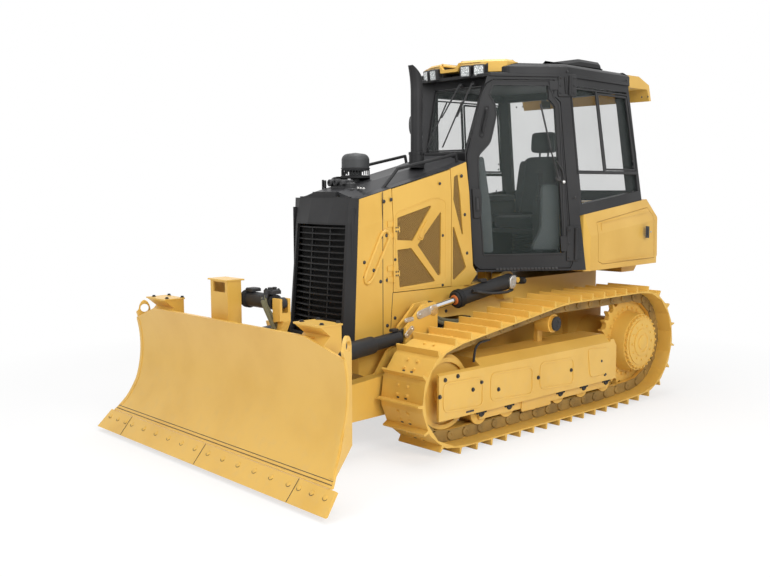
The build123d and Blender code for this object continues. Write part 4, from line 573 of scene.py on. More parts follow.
def hex_bolt(radius, height=None):
    """Washer and hexagon head: two turned profiles, of 12 sides and of 6."""
    height = height or radius * 0.75
    washer = turned([(-1, radius * 1.35), (radius * 0.2, radius * 1.35), (radius * 0.24, radius * 1.25)],
                    (0, 0, 0), UP, 12)
    head = turned([(0, radius), (radius * 0.2 + height * 0.85, radius),
                   (radius * 0.2 + height, radius * 0.82)], (0, 0, 0), UP, 6)
    return joined([washer, head])


def dome_bolt(radius, height):
    """A low round head: its radius falls as a quarter of a circle while it rises."""
    angle = np.linspace(0, 1.45, 4)
    profile = [(-1, radius)] + list(zip(np.sin(angle) * height, np.cos(angle) * radius))
    return turned(profile, (0, 0, 0), UP, 10)


def studs(template, places, out):
    """Copies of a fastener at many places, all standing along out."""
    return copies(template, places, frames_at(out))


def on_ring(centre, radius, y, count):
    """Points on a circle round a cross axle, at that y: x and z go as its cosine and sine."""
    angle = np.linspace(0, 2 * np.pi, count, endpoint=False)
    return centre + np.stack([radius * np.cos(angle), angle * 0 + y, radius * np.sin(angle)], 1)


def at_y(pairs, y):
    """Side-view pairs (x, z) as points at that y."""
    return np.insert(np.asarray(pairs, float), 1, y, axis=1)


print("bolt faces", sum(len(group) for group in hex_bolt(10)[1]))

# %% [markdown]
# ## Finishes for the added pieces
# The screens in the hood's doors are thin mesh, painted a darker yellow than the panel, with dark
# holes. From a few metres away the holes melt into a brown tone. Each hole as geometry would be far
# too many faces, so the finish draws a staggered grid of dark dots from the object's own x and z, and
# a coarser mesh of real bars lies over it. The dark dots are painted shade: the dark space behind the
# sheet, seen through its holes. Lamps get a glassy lens with a cell pattern like a prism; its
# near-white colour is painted reflection, and the bright middle of each cell is a painted glint.

# %% Screen, lenses, seal
screen_finish = Finish("screen_sheet", (0.36, 0.22, 0.055))
HOLE_PITCH, STAGGER = 0.0085, 0.577
x, _, z = screen_finish.axes()
turn = 2 * math.pi / HOLE_PITCH
dots = ((x + z * STAGGER) * turn).sine() * ((x - z * STAGGER) * turn).sine()
# Painted shade: the dark dots are the holes, coloured like the dark space behind the sheet.
hole = dots.size().between(0.30, 0.55)
screen_finish.paint(screen_finish.mix(hole, (0.45, 0.262, 0.062), (0.11, 0.066, 0.020)))
screen_finish.rough(hole * 0.2 + 0.45)
screen_finish.relief(1 - hole, 0.0008)
screen_sheet = screen_finish.material

# Painted reflection: the lens is nearly white, and the bright middle of each cell is a painted glint.
lens_finish = Finish("lamp_lens", (0.82, 0.86, 0.86), roughness=0.08, coat_weight=0.6)
glint_cells = lens_finish.cells(0.017).between(0.0, 0.3)
lens_finish.paint(lens_finish.mix(glint_cells, (0.35, 0.38, 0.38), (0.92, 0.95, 0.95)))
lens_finish.relief(glint_cells, 0.002)
lens_finish.rough(glint_cells * 0.1 + 0.06)
lamp_lens = lens_finish.material

seal_orange = grained("seal_orange", (0.62, 0.16, 0.03), (0.70, 0.22, 0.05), 0.004, 0.0001, 0.5)
fastener_black = grained("fastener_black", (0.020, 0.020, 0.021), (0.034, 0.034, 0.035), 0.003, 0.0001,
                         0.42)
interior_grey = grained("interior_grey", (0.060, 0.072, 0.074), (0.075, 0.088, 0.090), 0.006, 0.00005,
                        0.55)
print("materials", len(bpy.data.materials))

# %% [markdown]
# ## Tracks
# Each shoe is bolted to two chains of forged links with four bolts, and has two slots that let mud
# fall out. The belt line is worked out again from the four wheels, circle after circle, each joined
# to the next by a tangent, because the new parts must sit on the CAD shoes. The idler is pushed
# forward until the line is just as long as 43 pitches, which is how a real track is tensioned.

# %% The belt line
# Each wheel is x, z and the radius of its pin line; the idler's x is solved below.
IDLER_Z, IDLER_R = 410.0, 305.0
LAST_ROLLER, SPROCKET, CARRIER = (-1275, 225, 120), (-1709, 509, 385), (-595, 777, 115)
GAUGE_HALF = 775.0
PITCH, SHOES, PLATE_TOP = 160.0, 43, 60.0
FIRST_PIN = 40.0
STEPS = 400


def belt(idler_x):
    """The pins' line, its running length at each point, and its whole length. A tangent leaves a
    circle at heading + 90 degrees, where heading is the way to the next centre plus the arcsine of
    the radii's difference over the distance."""
    wheels = np.array([(idler_x, IDLER_Z, IDLER_R), LAST_ROLLER, SPROCKET, CARRIER])
    ahead = np.roll(wheels, -1, 0)
    gap = ahead[:, :2] - wheels[:, :2]
    span = np.hypot(*gap.T)
    heading = np.arctan2(gap[:, 1], gap[:, 0]) + np.arcsin((ahead[:, 2] - wheels[:, 2]) / span)
    normal = np.stack([-np.sin(heading), np.cos(heading)], 1)
    start = wheels[:, :2] + wheels[:, 2:] * normal
    end = ahead[:, :2] + ahead[:, 2:] * normal
    line = []
    for index in range(len(wheels)):
        turn = (heading[index - 1] - heading[index]) % (2 * np.pi)
        angle = heading[index - 1] + np.pi / 2 - np.linspace(0, turn, STEPS)
        centre, reach = wheels[index, :2], wheels[index, 2]
        line.append(centre + reach * np.stack([np.cos(angle), np.sin(angle)], 1))
        line.append(np.linspace(start[index], end[index], STEPS))
    line = np.concatenate(line)
    step = np.hypot(*np.diff(line, axis=0, append=line[:1]).T)
    return line, np.concatenate([[0], np.cumsum(step)])[:-1], step.sum()


low, high = 300.0, 1000.0
while high - low > 0.001:
    idler_x = (low + high) / 2
    if belt(idler_x)[2] < PITCH * SHOES:
        low = idler_x
    else:
        high = idler_x
line, reached, whole = belt(idler_x)
lowest = reached[np.argmin(line[:STEPS, 1])]
stations = (lowest + FIRST_PIN + np.arange(SHOES) * PITCH) % whole
PINS = np.stack([np.interp(stations, reached, line[:, axis]) for axis in (0, 1)], 1)
WAY = np.roll(PINS, -1, 0) - PINS
WAY /= np.hypot(*WAY.T)[:, None]
MIDDLES = (PINS + np.roll(PINS, -1, 0)) / 2
print("idler at", round(idler_x, 1), "belt", round(whole, 1))

# %% [markdown]
# ## What each shoe carries
# Every shoe has its own three directions: along the chain, across it and out of it. One bolt, one
# slot and one link are drawn in those directions and copied 43 times, which keeps the chain light.

# %% Shoe bolts, slots and links
along = np.insert(WAY, 1, 0, axis=1)
away = np.stack([-WAY[:, 1], WAY[:, 0] * 0, WAY[:, 0]], 1)
side_way = np.cross(away, along)
CHAIN_AXES = np.stack([along, side_way, away], 1)
SHOE_CENTRES = np.insert(MIDDLES, 1, GAUGE_HALF, axis=1)


def on_shoes(template, offsets):
    """A copy on each shoe at every offset (along, across, out) from the middle between its pins."""
    offsets = np.asarray(offsets, float)
    places = SHOE_CENTRES[:, None] + np.einsum("oi,mij->moj", offsets, CHAIN_AXES)
    axes = np.repeat(CHAIN_AXES, len(offsets), axis=0)
    return copies(template, places.reshape(-1, 3), axes)


bolt_spots = [(u, v, PLATE_TOP) for u in (-50, 12) for v in (-47, 47)]
shoe_bolts = on_shoes(hex_bolt(11, 9), bolt_spots)
# Each mud slot is a thin black patch on the plate: painted shade in its opening.
slot_outline = rounded([(-6, -13, 0), (6, -13, 0), (6, 13, 0), (-6, 13, 0)], 6)
slots = on_shoes(slab(slot_outline, UP, 1.2, 0.4), [(34, v, PLATE_TOP) for v in (-38, 38)])
link_outline = rounded([(-104, 0, -34), (-74, 0, -38), (74, 0, -38), (104, 0, -20), (104, 0, 24),
                        (70, 0, 46), (-70, 0, 46), (-104, 0, 26)], 18, 2)
link = slab(link_outline, LEFT, 9, 3)
links = [on_shoes(link, [(0, 64, 0)]), on_shoes(mirrored(link), [(0, -64, 0)])]
boss = turned([(0, 29), (9, 29), (11, 26), (11, 15), (8, 13), (8, POLE)], (0, 0, 0), LEFT, 14)
bosses = [on_shoes(boss, [(-80, 73, 0)]), on_shoes(mirrored(boss), [(-80, -73, 0)])]
track_yellow = painted("track_yellow", YELLOW, YELLOW_DEEP, 0.006, 0.0005, 0.45, 0.05)
piece("shoe_bolts", both([shoe_bolts]), track_yellow, "machine")
piece("shoe_slots", both([slots]), fastener_black, "machine")
# The chain is yellow; its links and bosses are a yellow at half brightness and darker: painted shade between
# the shoes and the wheels.
chain_shade = grained("chain_shade", (0.36, 0.22, 0.055), (0.17, 0.105, 0.032), 0.006, 0.0004, 0.6)
piece("chain_links", both(links), chain_shade, "machine")
piece("chain_bosses", both(bosses), chain_shade, "machine")
print("track detail", COUNTS)

# %% [markdown]
# ## Wheels and track frame
# The final drive's cover is held by a ring of bolts, one in each lobe, with a raised centre cap. The
# roller and idler axles end in turned caps. The frame's cover has pressed rectangles, which could
# be a bump in the paint; they are raised rims here, because their edges catch the light from the side.

# %% Hub, rollers and frame bolts
DRIVE = np.array([SPROCKET[0], 0, SPROCKET[1]], float)
ROLLER_Z, ROLLER_END, FRAME_SIDE = 225, 881, 925
hub = [studs(hex_bolt(9, 7), on_ring(DRIVE, 222, 939, 28), LEFT),
       studs(hex_bolt(9), on_ring(DRIVE, 150, 947, 12), LEFT),
       studs(hex_bolt(13), on_ring(DRIVE, 288, 797, 24), LEFT),
       turned([(0, 118), (7, 118), (10, 113), (10, 84), (4, 80), (4, 62), (12, 58), (15, 50), (15, POLE)],
              DRIVE + [0, 946, 0], LEFT, 40),
       turned([(0, 24), (8, 24), (8, POLE)], DRIVE + [70, 950, 62], LEFT, 6)]
piece("hub_details", both(hub), yellow_cast, "machine")
roller_x = np.linspace(300, LAST_ROLLER[0], 6)
caps = [turned([(0, 33), (5, 33), (9, 28), (9, 12), (5, 10), (5, POLE)], (x, ROLLER_END, ROLLER_Z), LEFT, 20)
        for x in roller_x]
cap_bolts = [(x + side, ROLLER_END, ROLLER_Z) for x in roller_x for side in (-46, 46)]
caps += [studs(hex_bolt(8, 5), cap_bolts, LEFT),
         turned([(0, 44), (8, 44), (12, 38), (12, 18), (7, 15), (7, POLE)], (idler_x, 905, IDLER_Z),
                LEFT, 24),
         turned([(0, 58), (8, 58), (12, 52), (12, 26), (8, 22), (8, POLE)], (CARRIER[0], 863, CARRIER[1]),
                LEFT, 24)]
piece("roller_caps", both(caps), black_paint, "machine")
FRAME_BOLTS = [(444, 421), (352, 462), (165, 380), (782, 420), (729, 530), (602, 540), (-300, 400),
               (-720, 400), (-1130, 420), (-1190, 300)]
frame_bolts = [studs(hex_bolt(12), at_y(FRAME_BOLTS, FRAME_SIDE), LEFT)]
pressings = [rim(rounded(at_y([(front, 512), (rear, 500), (rear, 275), (front, 300)], FRAME_SIDE), 60, 6),
                 LEFT, 16, 5) for front, rear in ((750, 330), (255, -240), (-320, -760))]
rear_cover = rounded(at_y([(-945, 545), (-1235, 520), (-1270, 300), (-975, 300)], FRAME_SIDE), 50, 5)
guard = rounded(at_y([(-150, 236), (-510, 236), (-510, 150), (-150, 150)], ROLLER_END), 20)
# The slot in the frame's side is a thin black patch: painted shade in its opening.
slot = rounded(at_y([(515, 262), (430, 262), (430, 276), (515, 276)], FRAME_SIDE), 7)
piece("frame_bolts", both(frame_bolts), fastener_black, "machine")
piece("frame_details", both(pressings + [slab(rear_cover, LEFT, 8, 4), slab(guard, LEFT, 10, 3)]),
      yellow_paint, "machine")
piece("frame_slots", both([slab(slot, LEFT, 1, 0.4)]), fastener_black, "machine")
pipe = curve([(366, 860, 600), (362, 872, 690), (320, 870, 730), (225, 850, 736), (150, 820, 730)])
piece("grease_pipe", both([tube(pipe, 9)]), black_paint, "machine")
print("wheel detail", sum(COUNTS.values()))

# %% [markdown]
# ## Screens
# The hood's side doors are thin sheet with windows closed by screens. A screen is cut to its window's
# outline and set just above the bottom of the pressed recess, with thin crossed bars on top of it.
# The bars could be cut with a boolean; clipping each line at the outline's edges is exact and quick.

# %% Screens
SHEET_Y, SHEET_THICK = 346.2, 2.2
DOOR_WINDOWS = (((639, 1623), (279, 1711), (481, 1452), (640, 1462)),
                ((640, 1391), (498, 1398), (238, 1134), (618, 1115)),
                ((182, 1665), (434, 1418), (214, 1176), (186, 1180)))
REAR_WINDOWS = (((52, 1570), (-103, 1221), (-90, 1205), (29, 1129), (50, 1140)),
                ((31, 1920), (-10, 1941), (-72, 1420), (50, 1751)))


def bars(outline, pitch, slope, half):
    """Thin square bars across a convex outline in the x-z plane. Each bar lies on a line x cos a +
    z sin a = k, and is cut where that line enters and leaves the outline's edges."""
    outline = np.asarray(outline, float)
    normal = np.array([math.cos(slope), math.sin(slope)])
    way = np.array([-normal[1], normal[0]])
    reach = outline @ normal
    lines = np.arange(reach.min() + pitch, reach.max(), pitch)
    edge = np.roll(outline, -1, 0) - outline
    share = (lines[:, None] - reach) / (edge @ normal + 1e-9)
    hit = (share >= 0) & (share <= 1)
    place = (outline[None] + edge[None] * share[..., None]) @ way
    first = np.where(hit, place, np.inf).min(1)
    last = np.where(hit, place, -np.inf).max(1)
    corners = [(-half, 0), (half, 0), (half, 2 * half), (-half, 2 * half)]
    base = lines[:, None] * normal
    rings = []
    for end in (first, last):
        spot = base + end[:, None] * way
        rings.append(np.stack([np.stack([spot[:, 0] + u * normal[0], np.full(len(lines), v),
                                         spot[:, 1] + u * normal[1]], 1)
                               for u, v in corners], 1))
    points = np.concatenate(rings, 1).reshape(-1, 3)
    start = np.arange(len(lines))[:, None, None] * 8
    around = np.array([(i, (i + 1) % 4, (i + 1) % 4 + 4, i + 4) for i in range(4)])
    groups = [(around[None] + start).reshape(-1, 4),
              (np.array([[3, 2, 1, 0], [4, 5, 6, 7]])[None] + start).reshape(-1, 4)]
    return points, groups


def screens(outlines):
    """For each window a thin sheet, and bars 13 mm apart across it both ways."""
    parts = []
    for outline in outlines:
        parts.append(slab(rounded(at_y(outline, SHEET_Y), 8), LEFT, SHEET_THICK, 0.6))
        for slope in (math.radians(45), math.radians(-45)):
            points, groups = bars(outline, 13.0, slope, 1.1)
            parts.append((points + [0, SHEET_Y + SHEET_THICK, 0], groups))
    return parts


for side, sign in SIDES:
    piece(f"door_screens_{side}", on_side(screens(DOOR_WINDOWS), sign), screen_sheet,
          f"engine_door_{side}")
piece("rear_screens", both(screens(REAR_WINDOWS)), screen_sheet, "machine")
print("screens", COUNTS["door_screens_left"], COUNTS["rear_screens"])

# %% [markdown]
# ## Bolts, latch and grip of the side panels
# Black round-headed bolts hold the panels, and the door has a pressed field, a paddle latch and two
# hinges. The grip before the door stands out from the sheet as a bent bar, so it is a tube along a
# closed path. The joints between panels are thin black strips, since the CAD panels meet without a gap.

# %% Bolts, latch and grip of the side panels
HOOD_SIDE = 360
DOOR_BOLTS = [(196, 1869), (163, 1478), (163, 1100), (662, 1322)]
PANEL_BOLTS = [(771, 1743), (700, 1755), (-44, 1927), (-83, 1630), (-112, 1330), (742, 1178),
               (806, 1172), (961, 1319), (872, 1257), (958, 1213), (801, 1491), (747, 1500),
               (665, 895), (741, 847), (124, 896)]
piece("panel_bolts", both([studs(dome_bolt(14, 8), at_y(PANEL_BOLTS, HOOD_SIDE), LEFT)]), fastener_black,
      "machine")
handle = rounded(at_y([(800, 1516), (752, 1540), (714, 1494), (890, 1190), (944, 1158), (966, 1208)],
                      HOOD_SIDE + 6), 42, 6)
piece("side_grips", both([tube(handle, 12, 10, closed=True)]), yellow_paint, "machine")
latch = rounded(at_y([(436, 1462), (408, 1546), (346, 1530), (384, 1448)], HOOD_SIDE), 14)
paddle = rounded(at_y([(420, 1474), (400, 1534), (362, 1524), (392, 1462)], HOOD_SIDE), 10)
field = rounded(at_y([(660, 1660), (240, 1770), (130, 1745), (130, 1110), (660, 1098)], HOOD_SIDE), 40)
hinge_bolts = [(x, z) for z in (1207, 1233, 1527, 1553) for x in (640, 660)]
yellow = [rim(latch, LEFT, 10, 6), slab(paddle, LEFT, 9, 4), rim(field, LEFT, 7, 2)]
black = [studs(dome_bolt(12, 7), at_y(DOOR_BOLTS, HOOD_SIDE), LEFT),
         studs(dome_bolt(7, 4), at_y(hinge_bolts, HOOD_SIDE + 8), LEFT)]
for side, sign in SIDES:
    piece(f"door_pressing_{side}", on_side(yellow, sign), yellow_paint, f"engine_door_{side}")
    piece(f"door_bolts_{side}", on_side(black, sign), fastener_black, f"engine_door_{side}")
seams = [slab(at_y(strip, HOOD_SIDE), LEFT, 0.6, sunk=1)
         for strip in ([(781, 1812), (787, 1812), (787, 742), (781, 742)],
                       [(685, 1080), (690, 1080), (716, 742), (711, 742)])]
baffle = [box((966, 330, 745), (1052, 334.6, 1700), 1), box((966, 318, 745), (972, 334.6, 1700), 1)]
piece("panel_seams", both(seams), fastener_black, "machine")
piece("nose_baffles", both(baffle), hood_black, "machine")
print("hood side", sum(COUNTS.values()))

# %% [markdown]
# ## On the hood
# The air pre-cleaner has a banded bowl over a silver clamp, with a ring of fins as its inlet. Before
# it stands a block of valves with pipes, and the exhaust pipe stands in a clamped sleeve. All of it
# is turned parts, blocks and pipes, so the few kinds of surface from above are enough.

# %% Pre-cleaner, valves and exhaust clamps
CLEANER = np.array([680.0, -50.0, 0.0])
CLEANER_FOOT = 1836.0


def band(profile, sides=40):
    """Turned round the cleaner's axis, with heights above its foot."""
    return turned([(CLEANER_FOOT + z, radius) for z, radius in profile], CLEANER, UP, sides)


cleaner = [band([(70, 70), (76, 108), (92, 109), (96, 100), (96, 60)]),
           band([(140, 105), (142, 109), (150, 109), (152, 105), (152, 60)]),
           band([(205, 30), (217, 28), (222, 18), (222, POLE)], 24)]
FINS, FIN_RING = 30, 102
angle = np.linspace(0, 2 * np.pi, FINS, endpoint=False)
fin = slab(rounded([(-3, 0, -18), (3, 0, -18), (3, 0, 18), (-3, 0, 18)], 2, 2), LEFT, 5, 1)
outwards = np.stack([np.cos(angle), np.sin(angle), angle * 0], 1)
spin = np.stack([np.cross(UP, outwards), outwards, np.tile(UP, (FINS, 1))], 1)
cleaner.append(copies(fin, CLEANER + FIN_RING * outwards + UP * (CLEANER_FOOT + 118), spin))
valve = [box((560, -180, 1824), (640, -110, 1874)), plug(26, 50, (600, -145, 1870), UP, 6, (4, 4)),
         plug(16, 74, (600, -112, 1850), LEFT, 12, (4, 4)),
         tube(curve([(600, -40, 1850), (640, -20, 1856), (668, -40, 1886)]), 20, 12),
         tube(curve([(580, -180, 1846), (500, -210, 1858), (430, -190, 1842)]), 14)]
piece("cleaner_bands", cleaner + valve, black_paint, "machine")
silver = [band([(30, 44), (32, 52), (44, 52), (46, 44)], 32), box((672, 6, 1866), (692, 16, 1882)),
          plug(22, 12, (600, -145, 1920), UP, 6),
          studs(hex_bolt(10, 9), [(560, 120, 1846), (600, 150, 1842), (640, 120, 1838)], (0.2, 0, 1))]
piece("cleaner_clamp", silver, bare_steel, "machine")
STACK, CLAMPS = np.array([245.0, 160.0, 0.0]), (2010, 2086)
stack = [turned([(z, 46), (z + 2, 62), (z + 22, 62), (z + 24, 46)], STACK, UP, 32) for z in CLAMPS]
stack += [box((232, 216, z + 2), (262, 236, z + 22)) for z in CLAMPS]
stack.append(studs(hex_bolt(7, 6), [(247, 236, z + 12) for z in CLAMPS], LEFT))
piece("stack_clamps", stack, black_paint, "machine")
port = [(0, 26), (44, 26), (48, 20), (48, 12), (40, 10), (40, POLE)]
valves = [box((838, -96, 1790), (916, 176, 1838), 6), box((850, -76, 1834), (904, 152, 1878), 8),
          box((846, 20, 1870), (890, 120, 1900), 8), turned(port, (880, -62, 1876), (1, 0, 0), 16),
          turned(port, (880, 2, 1880), (1, 0, 0), 16), plug(22, 54, (876, 78, 1872), (1, 0, 0), 6, (4, 6)),
          box((872, -196, 1790), (888, -184, 1900), 3), box((872, -168, 1842), (888, -158, 1896), 3),
          box((872, -196, 1834), (888, -158, 1848), 3),
          tube(curve([(860, -70, 1850), (840, -130, 1900), (760, -150, 1915), (700, -120, 1900)]), 9)]
piece("valve_block", valves, fastener_black, "machine")
bolts = studs(hex_bolt(9, 8), [(870, 196, 1836), (870, 226, 1834), (870, 256, 1832)], UP)
piece("valve_bolts", [bolts], bare_steel, "machine")
# Painted shade: a near-black sheet inside the hood's nose, where only the dark engine bay would show.
painted_shade_black = grained("painted_shade_black", (0.003, 0.003, 0.003), (0.006, 0.0055, 0.005), 0.02, 0.0001, 0.8)
piece("nose_shade_sheet", [box((1006, -284, 795), (1012, 284, 1561), 1)], painted_shade_black, "machine")
print("hood top", COUNTS["cleaner_bands"], COUNTS["stack_clamps"])

# %% [markdown]
# ## Cab doors
# The door lies in an upright plane that runs slantwise back from the front post, so its details are
# drawn in that plane, by how far they are behind the post and how high, and then turned into
# space. Seals, handles, hinge plates and the wiper are separate small parts, as on the machine.

# %% The door's plane
DOOR_FROM = np.array([-245.0, 350.0, 0.0])
DOOR_BACK = np.array([-0.8310, 0.5562, 0.0])
DOOR_OUT = np.array([0.5562, 0.8310, 0.0])


def on_door(pairs, out=0.0):
    """Points (behind the front post, height) of the door's plane, lifted out of it by out."""
    pairs = np.asarray(pairs, float)
    return DOOR_FROM + pairs[:, :1] * DOOR_BACK + pairs[:, 1:] * [0, 0, 1.0] + out * DOOR_OUT


DOOR_EDGE = [(15, 1195), (-32, 1240), (-80, 1897), (-92, 2095), (22, 2560), (60, 2640), (118, 2672),
             (608, 2672), (604, 2553), (660, 2506), (722, 1896), (786, 1230), (770, 1195)]
DOOR_GLASS = [(106, 2640), (80, 2554), (126, 2490), (138, 2404), (111, 2269), (90, 2187), (-1, 2091),
              (0, 1897), (45, 1303), (732, 1306), (661, 2486), (612, 2549), (576, 2640)]
seal = [rim(rounded(on_door(DOOR_GLASS, 1), 26), DOOR_OUT, 9, 5, sunk=2)]
lock_plate = on_door([(-52, 1830), (10, 1830), (26, 1800), (30, 1640), (14, 1596), (-36, 1596)])
plates = [rim(rounded(on_door(DOOR_EDGE), 24), DOOR_OUT, 10, 5, sunk=2),
          slab(rounded(lock_plate, 12), DOOR_OUT, 14, 4, sunk=2),
          rim(rounded(on_door([(-24, 1770), (8, 1770), (14, 1650), (-18, 1650)], 14), 10), DOOR_OUT, 7, 5),
          rim(rounded(on_door([(88, 2470), (50, 2480), (2, 2240), (40, 2215)]), 20), DOOR_OUT, 8, 7,
              sunk=2)]
# The slots in the lock plate and behind the grab are thin black patches: painted shade in the recesses.
slots = [slab(rounded(on_door([(-10, 1755), (2, 1755), (6, 1665), (-6, 1665)], 14), 5), DOOR_OUT, 2, 0.5),
         slab(rounded(on_door([(74, 2455), (58, 2458), (18, 2246), (34, 2236)], 1), 9), DOOR_OUT, 1.6, 0.5)]
grab = tube(curve(on_door([(58, 2440), (58, 2400), (34, 2300), (34, 2260)], 26)), 9)
wiper = [plug(22, 26, on_door([(652, 1906)], 2)[0], DOOR_OUT, 20, (6, 6)),
         tube(on_door([(652, 1906), (618, 2020), (574, 2150)], 28), [8, 7, 5], 6),
         tube(on_door([(640, 1950), (600, 2080), (566, 2170)], 34), 3, 6),
         slab(on_door([(578, 2140), (590, 2142), (500, 2490), (488, 2487)], 16), DOOR_OUT, 12, 3),
         tube(curve(on_door([(668, 1895), (700, 1880), (690, 1960), (660, 2010), (640, 2040)], 14)), 6)]
hinge = []
for top, bottom, front, rear in ((2723, 2547, 640, 790), (1528, 1247, 735, 842)):
    leaf = on_door([(front, top), (rear, top), (rear, bottom), (front, bottom)], 1)
    knuckle = on_door([((front + rear) / 2 + 20, bottom + 15)], 20)[0]
    screws = [(along, z) for along in (front + 20, rear - 18)
              for z in np.linspace(bottom + 30, top - 30, 3)]
    hinge += [slab(rounded(leaf, 16), DOOR_OUT, 12, 3, sunk=4),
              turned([(0, 13), (top - bottom - 30, 13)], knuckle, UP, 16),
              studs(hex_bolt(8, 6), on_door(screws, 13), DOOR_OUT)]
bright = [plug(12, 10, on_door([(700, 1880)], 12)[0], DOOR_OUT)]
for side, sign in SIDES:
    for name, parts, finish, slot in (("seals", seal, rubber, "black_paint"),
                                      ("plates", plates + [grab], black_paint, "black_paint"),
                                      ("slots", slots, fastener_black, "black_paint"),
                                      ("wiper", wiper, fastener_black, "black_paint"),
                                      ("hinges", hinge, black_paint, "black_paint"),
                                      ("pivot", bright, bare_steel, "bare_steel")):
        piece(f"door_{name}_{side}", on_side(parts, sign), finish, f"cab_door_{side}")
print("doors", COUNTS["door_plates_left"], COUNTS["door_hinges_left"])

# %% [markdown]
# ## Vents, window seals and slider
# The sill under the door has a row of slanted vents. The rear side window slides, so it has an upright
# bar, a lower rail and a second frame inside the first. Its plane leans and turns a little, so these
# parts are drawn by x and z, and the plane's equation gives y.

# %% Vents, window seals and slider
slats = [slab(rounded(on_door([(s, 1204), (s + 22, 1204), (s + 26, 1184), (s + 4, 1184)], 8), 4),
              DOOR_OUT, 3, 1) for s in np.linspace(150, 640, 18)]
piece("sill_vents", both(slats), fastener_black, "machine")
REAR_POINT, REAR_OUT = np.array([-902.0, 790.0, 2108.0]), unit([-0.0484, 0.9964, 0.0702])


def on_rear_side(pairs, out=0.0):
    """Points (x, z) of the cab's rear side: y follows from the plane's point and normal."""
    x, z = np.asarray(pairs, float).T
    leans = REAR_OUT[0] * (x - REAR_POINT[0]) + REAR_OUT[2] * (z - REAR_POINT[2])
    return np.stack([x, REAR_POINT[1] - leans / REAR_OUT[1], z], 1) + out * REAR_OUT


window = rounded(on_rear_side([(-872, 2625), (-1745, 2625), (-1862, 2120), (-1868, 1960),
                               (-928, 1960)]), 24)
slider = [rim(window, REAR_OUT, 12, 6, sunk=3),
          slab(on_rear_side([(-1228, 2622), (-1250, 2622), (-1345, 1955), (-1320, 1955)], -2), REAR_OUT,
               12, 3),
          slab(on_rear_side([(-925, 1962), (-1868, 1962), (-1866, 1944), (-925, 1944)], -2), REAR_OUT, 12, 3),
          rim(rounded(on_rear_side([(-1262, 2606), (-1730, 2606), (-1842, 1976), (-1352, 1976)], -4), 18),
              REAR_OUT, 16, 8, sunk=2)]
piece("window_slider", both(slider), rubber, "machine")
screws = on_rear_side([(-1800, 2060), (-1800, 2010), (-885, 1760), (-1790, 1800)], 1)
piece("window_studs", both([studs(dome_bolt(9, 5), screws, REAR_OUT)]), fastener_black, "machine")
print("vents", COUNTS["sill_vents"], "slider", COUNTS["window_slider"])

# %% [markdown]
# ## Lamps
# Each work lamp is a square black housing with a raised bezel, and a lens set into it. One function
# places all of them, because only the centre and the direction they face differ.

# %% Lamps
LENS_SHARE = 0.80


def lamp_unit(centre, facing, half):
    """The dark parts and the lens of a square lamp. Its corners are the centre plus and minus half
    of two directions square to the way it faces."""
    facing = unit(facing)
    across = unit(np.cross(UP, facing))
    tall = np.cross(facing, across)
    corner = [(-half, -half), (half, -half), (half, half), (-half, half)]
    spread = np.array([u * across + v * tall for u, v in corner])
    outline, lens = centre + spread, centre + spread * LENS_SHARE
    dark = [slab(rounded(outline, 12), facing, 22, 5, sunk=34),
            rim(rounded(outline, 12), facing, 9, 27, sunk=-18)]
    return dark, [slab(rounded(lens, 10), facing, 27, 2, sunk=-19)]


bezels, lenses = [], []
FRONT_LAMPS = tuple(((x, sign * y, z), (1, sign * turn, -0.10)) for sign in (1, -1)
                    for x, y, z, turn in ((-300, 172, 2752, 0.2), (-332, 281, 2754, 0.45)))
REAR_LAMPS = tuple(((-2118, sign * 420, 2640), (-1, sign * 0.2, -0.2)) for sign in (1, -1))
for centre, facing in FRONT_LAMPS + REAR_LAMPS:
    dark, clear = lamp_unit(centre, facing, 46)
    bezels += dark
    lenses += clear
brackets = [box((-2108, y - 18, 2668), (-2080, y + 18, 2700)) for y in (420, -420)]
piece("lamp_bezels", bezels + brackets, lens_housing, "machine")
piece("lamp_lenses", lenses, lamp_lens, "machine")
print("lamps", COUNTS["lamp_bezels"])

# %% [markdown]
# ## Roof, visor and cover
# The roof's front edge is cut back over the windscreen, and a yellow visor with two lamp bays hangs
# over the gap. The air conditioner's cover is a low wedge behind it. These three stand in for their
# CAD nodes, whose plain solids stay in the frame for collision.

# %% Roof, visor and cover
FRONT_POST, DOOR_POST, REAR_POST = (-300, 387), (-845, 752), (-1772, 706)
HUMP_HALF, HUMP_BEVEL = 610, 24


def roof_plan(front_x, z, out):
    """The roof's outline at a height, cut off at front_x and grown by out. The cut ends on the
    straight line from the front post to the door's rear post."""
    share = (FRONT_POST[0] - front_x) / (FRONT_POST[0] - DOOR_POST[0])
    half = [(front_x, FRONT_POST[1] + (DOOR_POST[1] - FRONT_POST[1]) * share), DOOR_POST, REAR_POST]
    whole = np.array([(x, y, z) for x, y in half] + [(x, -y, z) for x, y in half[::-1]], float)
    return inset(rounded(whole, 12, 2), UP, -out)


def at_z(pairs, z, sign=1):
    """Points (x, y) of a flat outline at a height, on the left or turned over to the right."""
    return np.insert(np.array(pairs, float) * [1, sign], 2, z, axis=1)


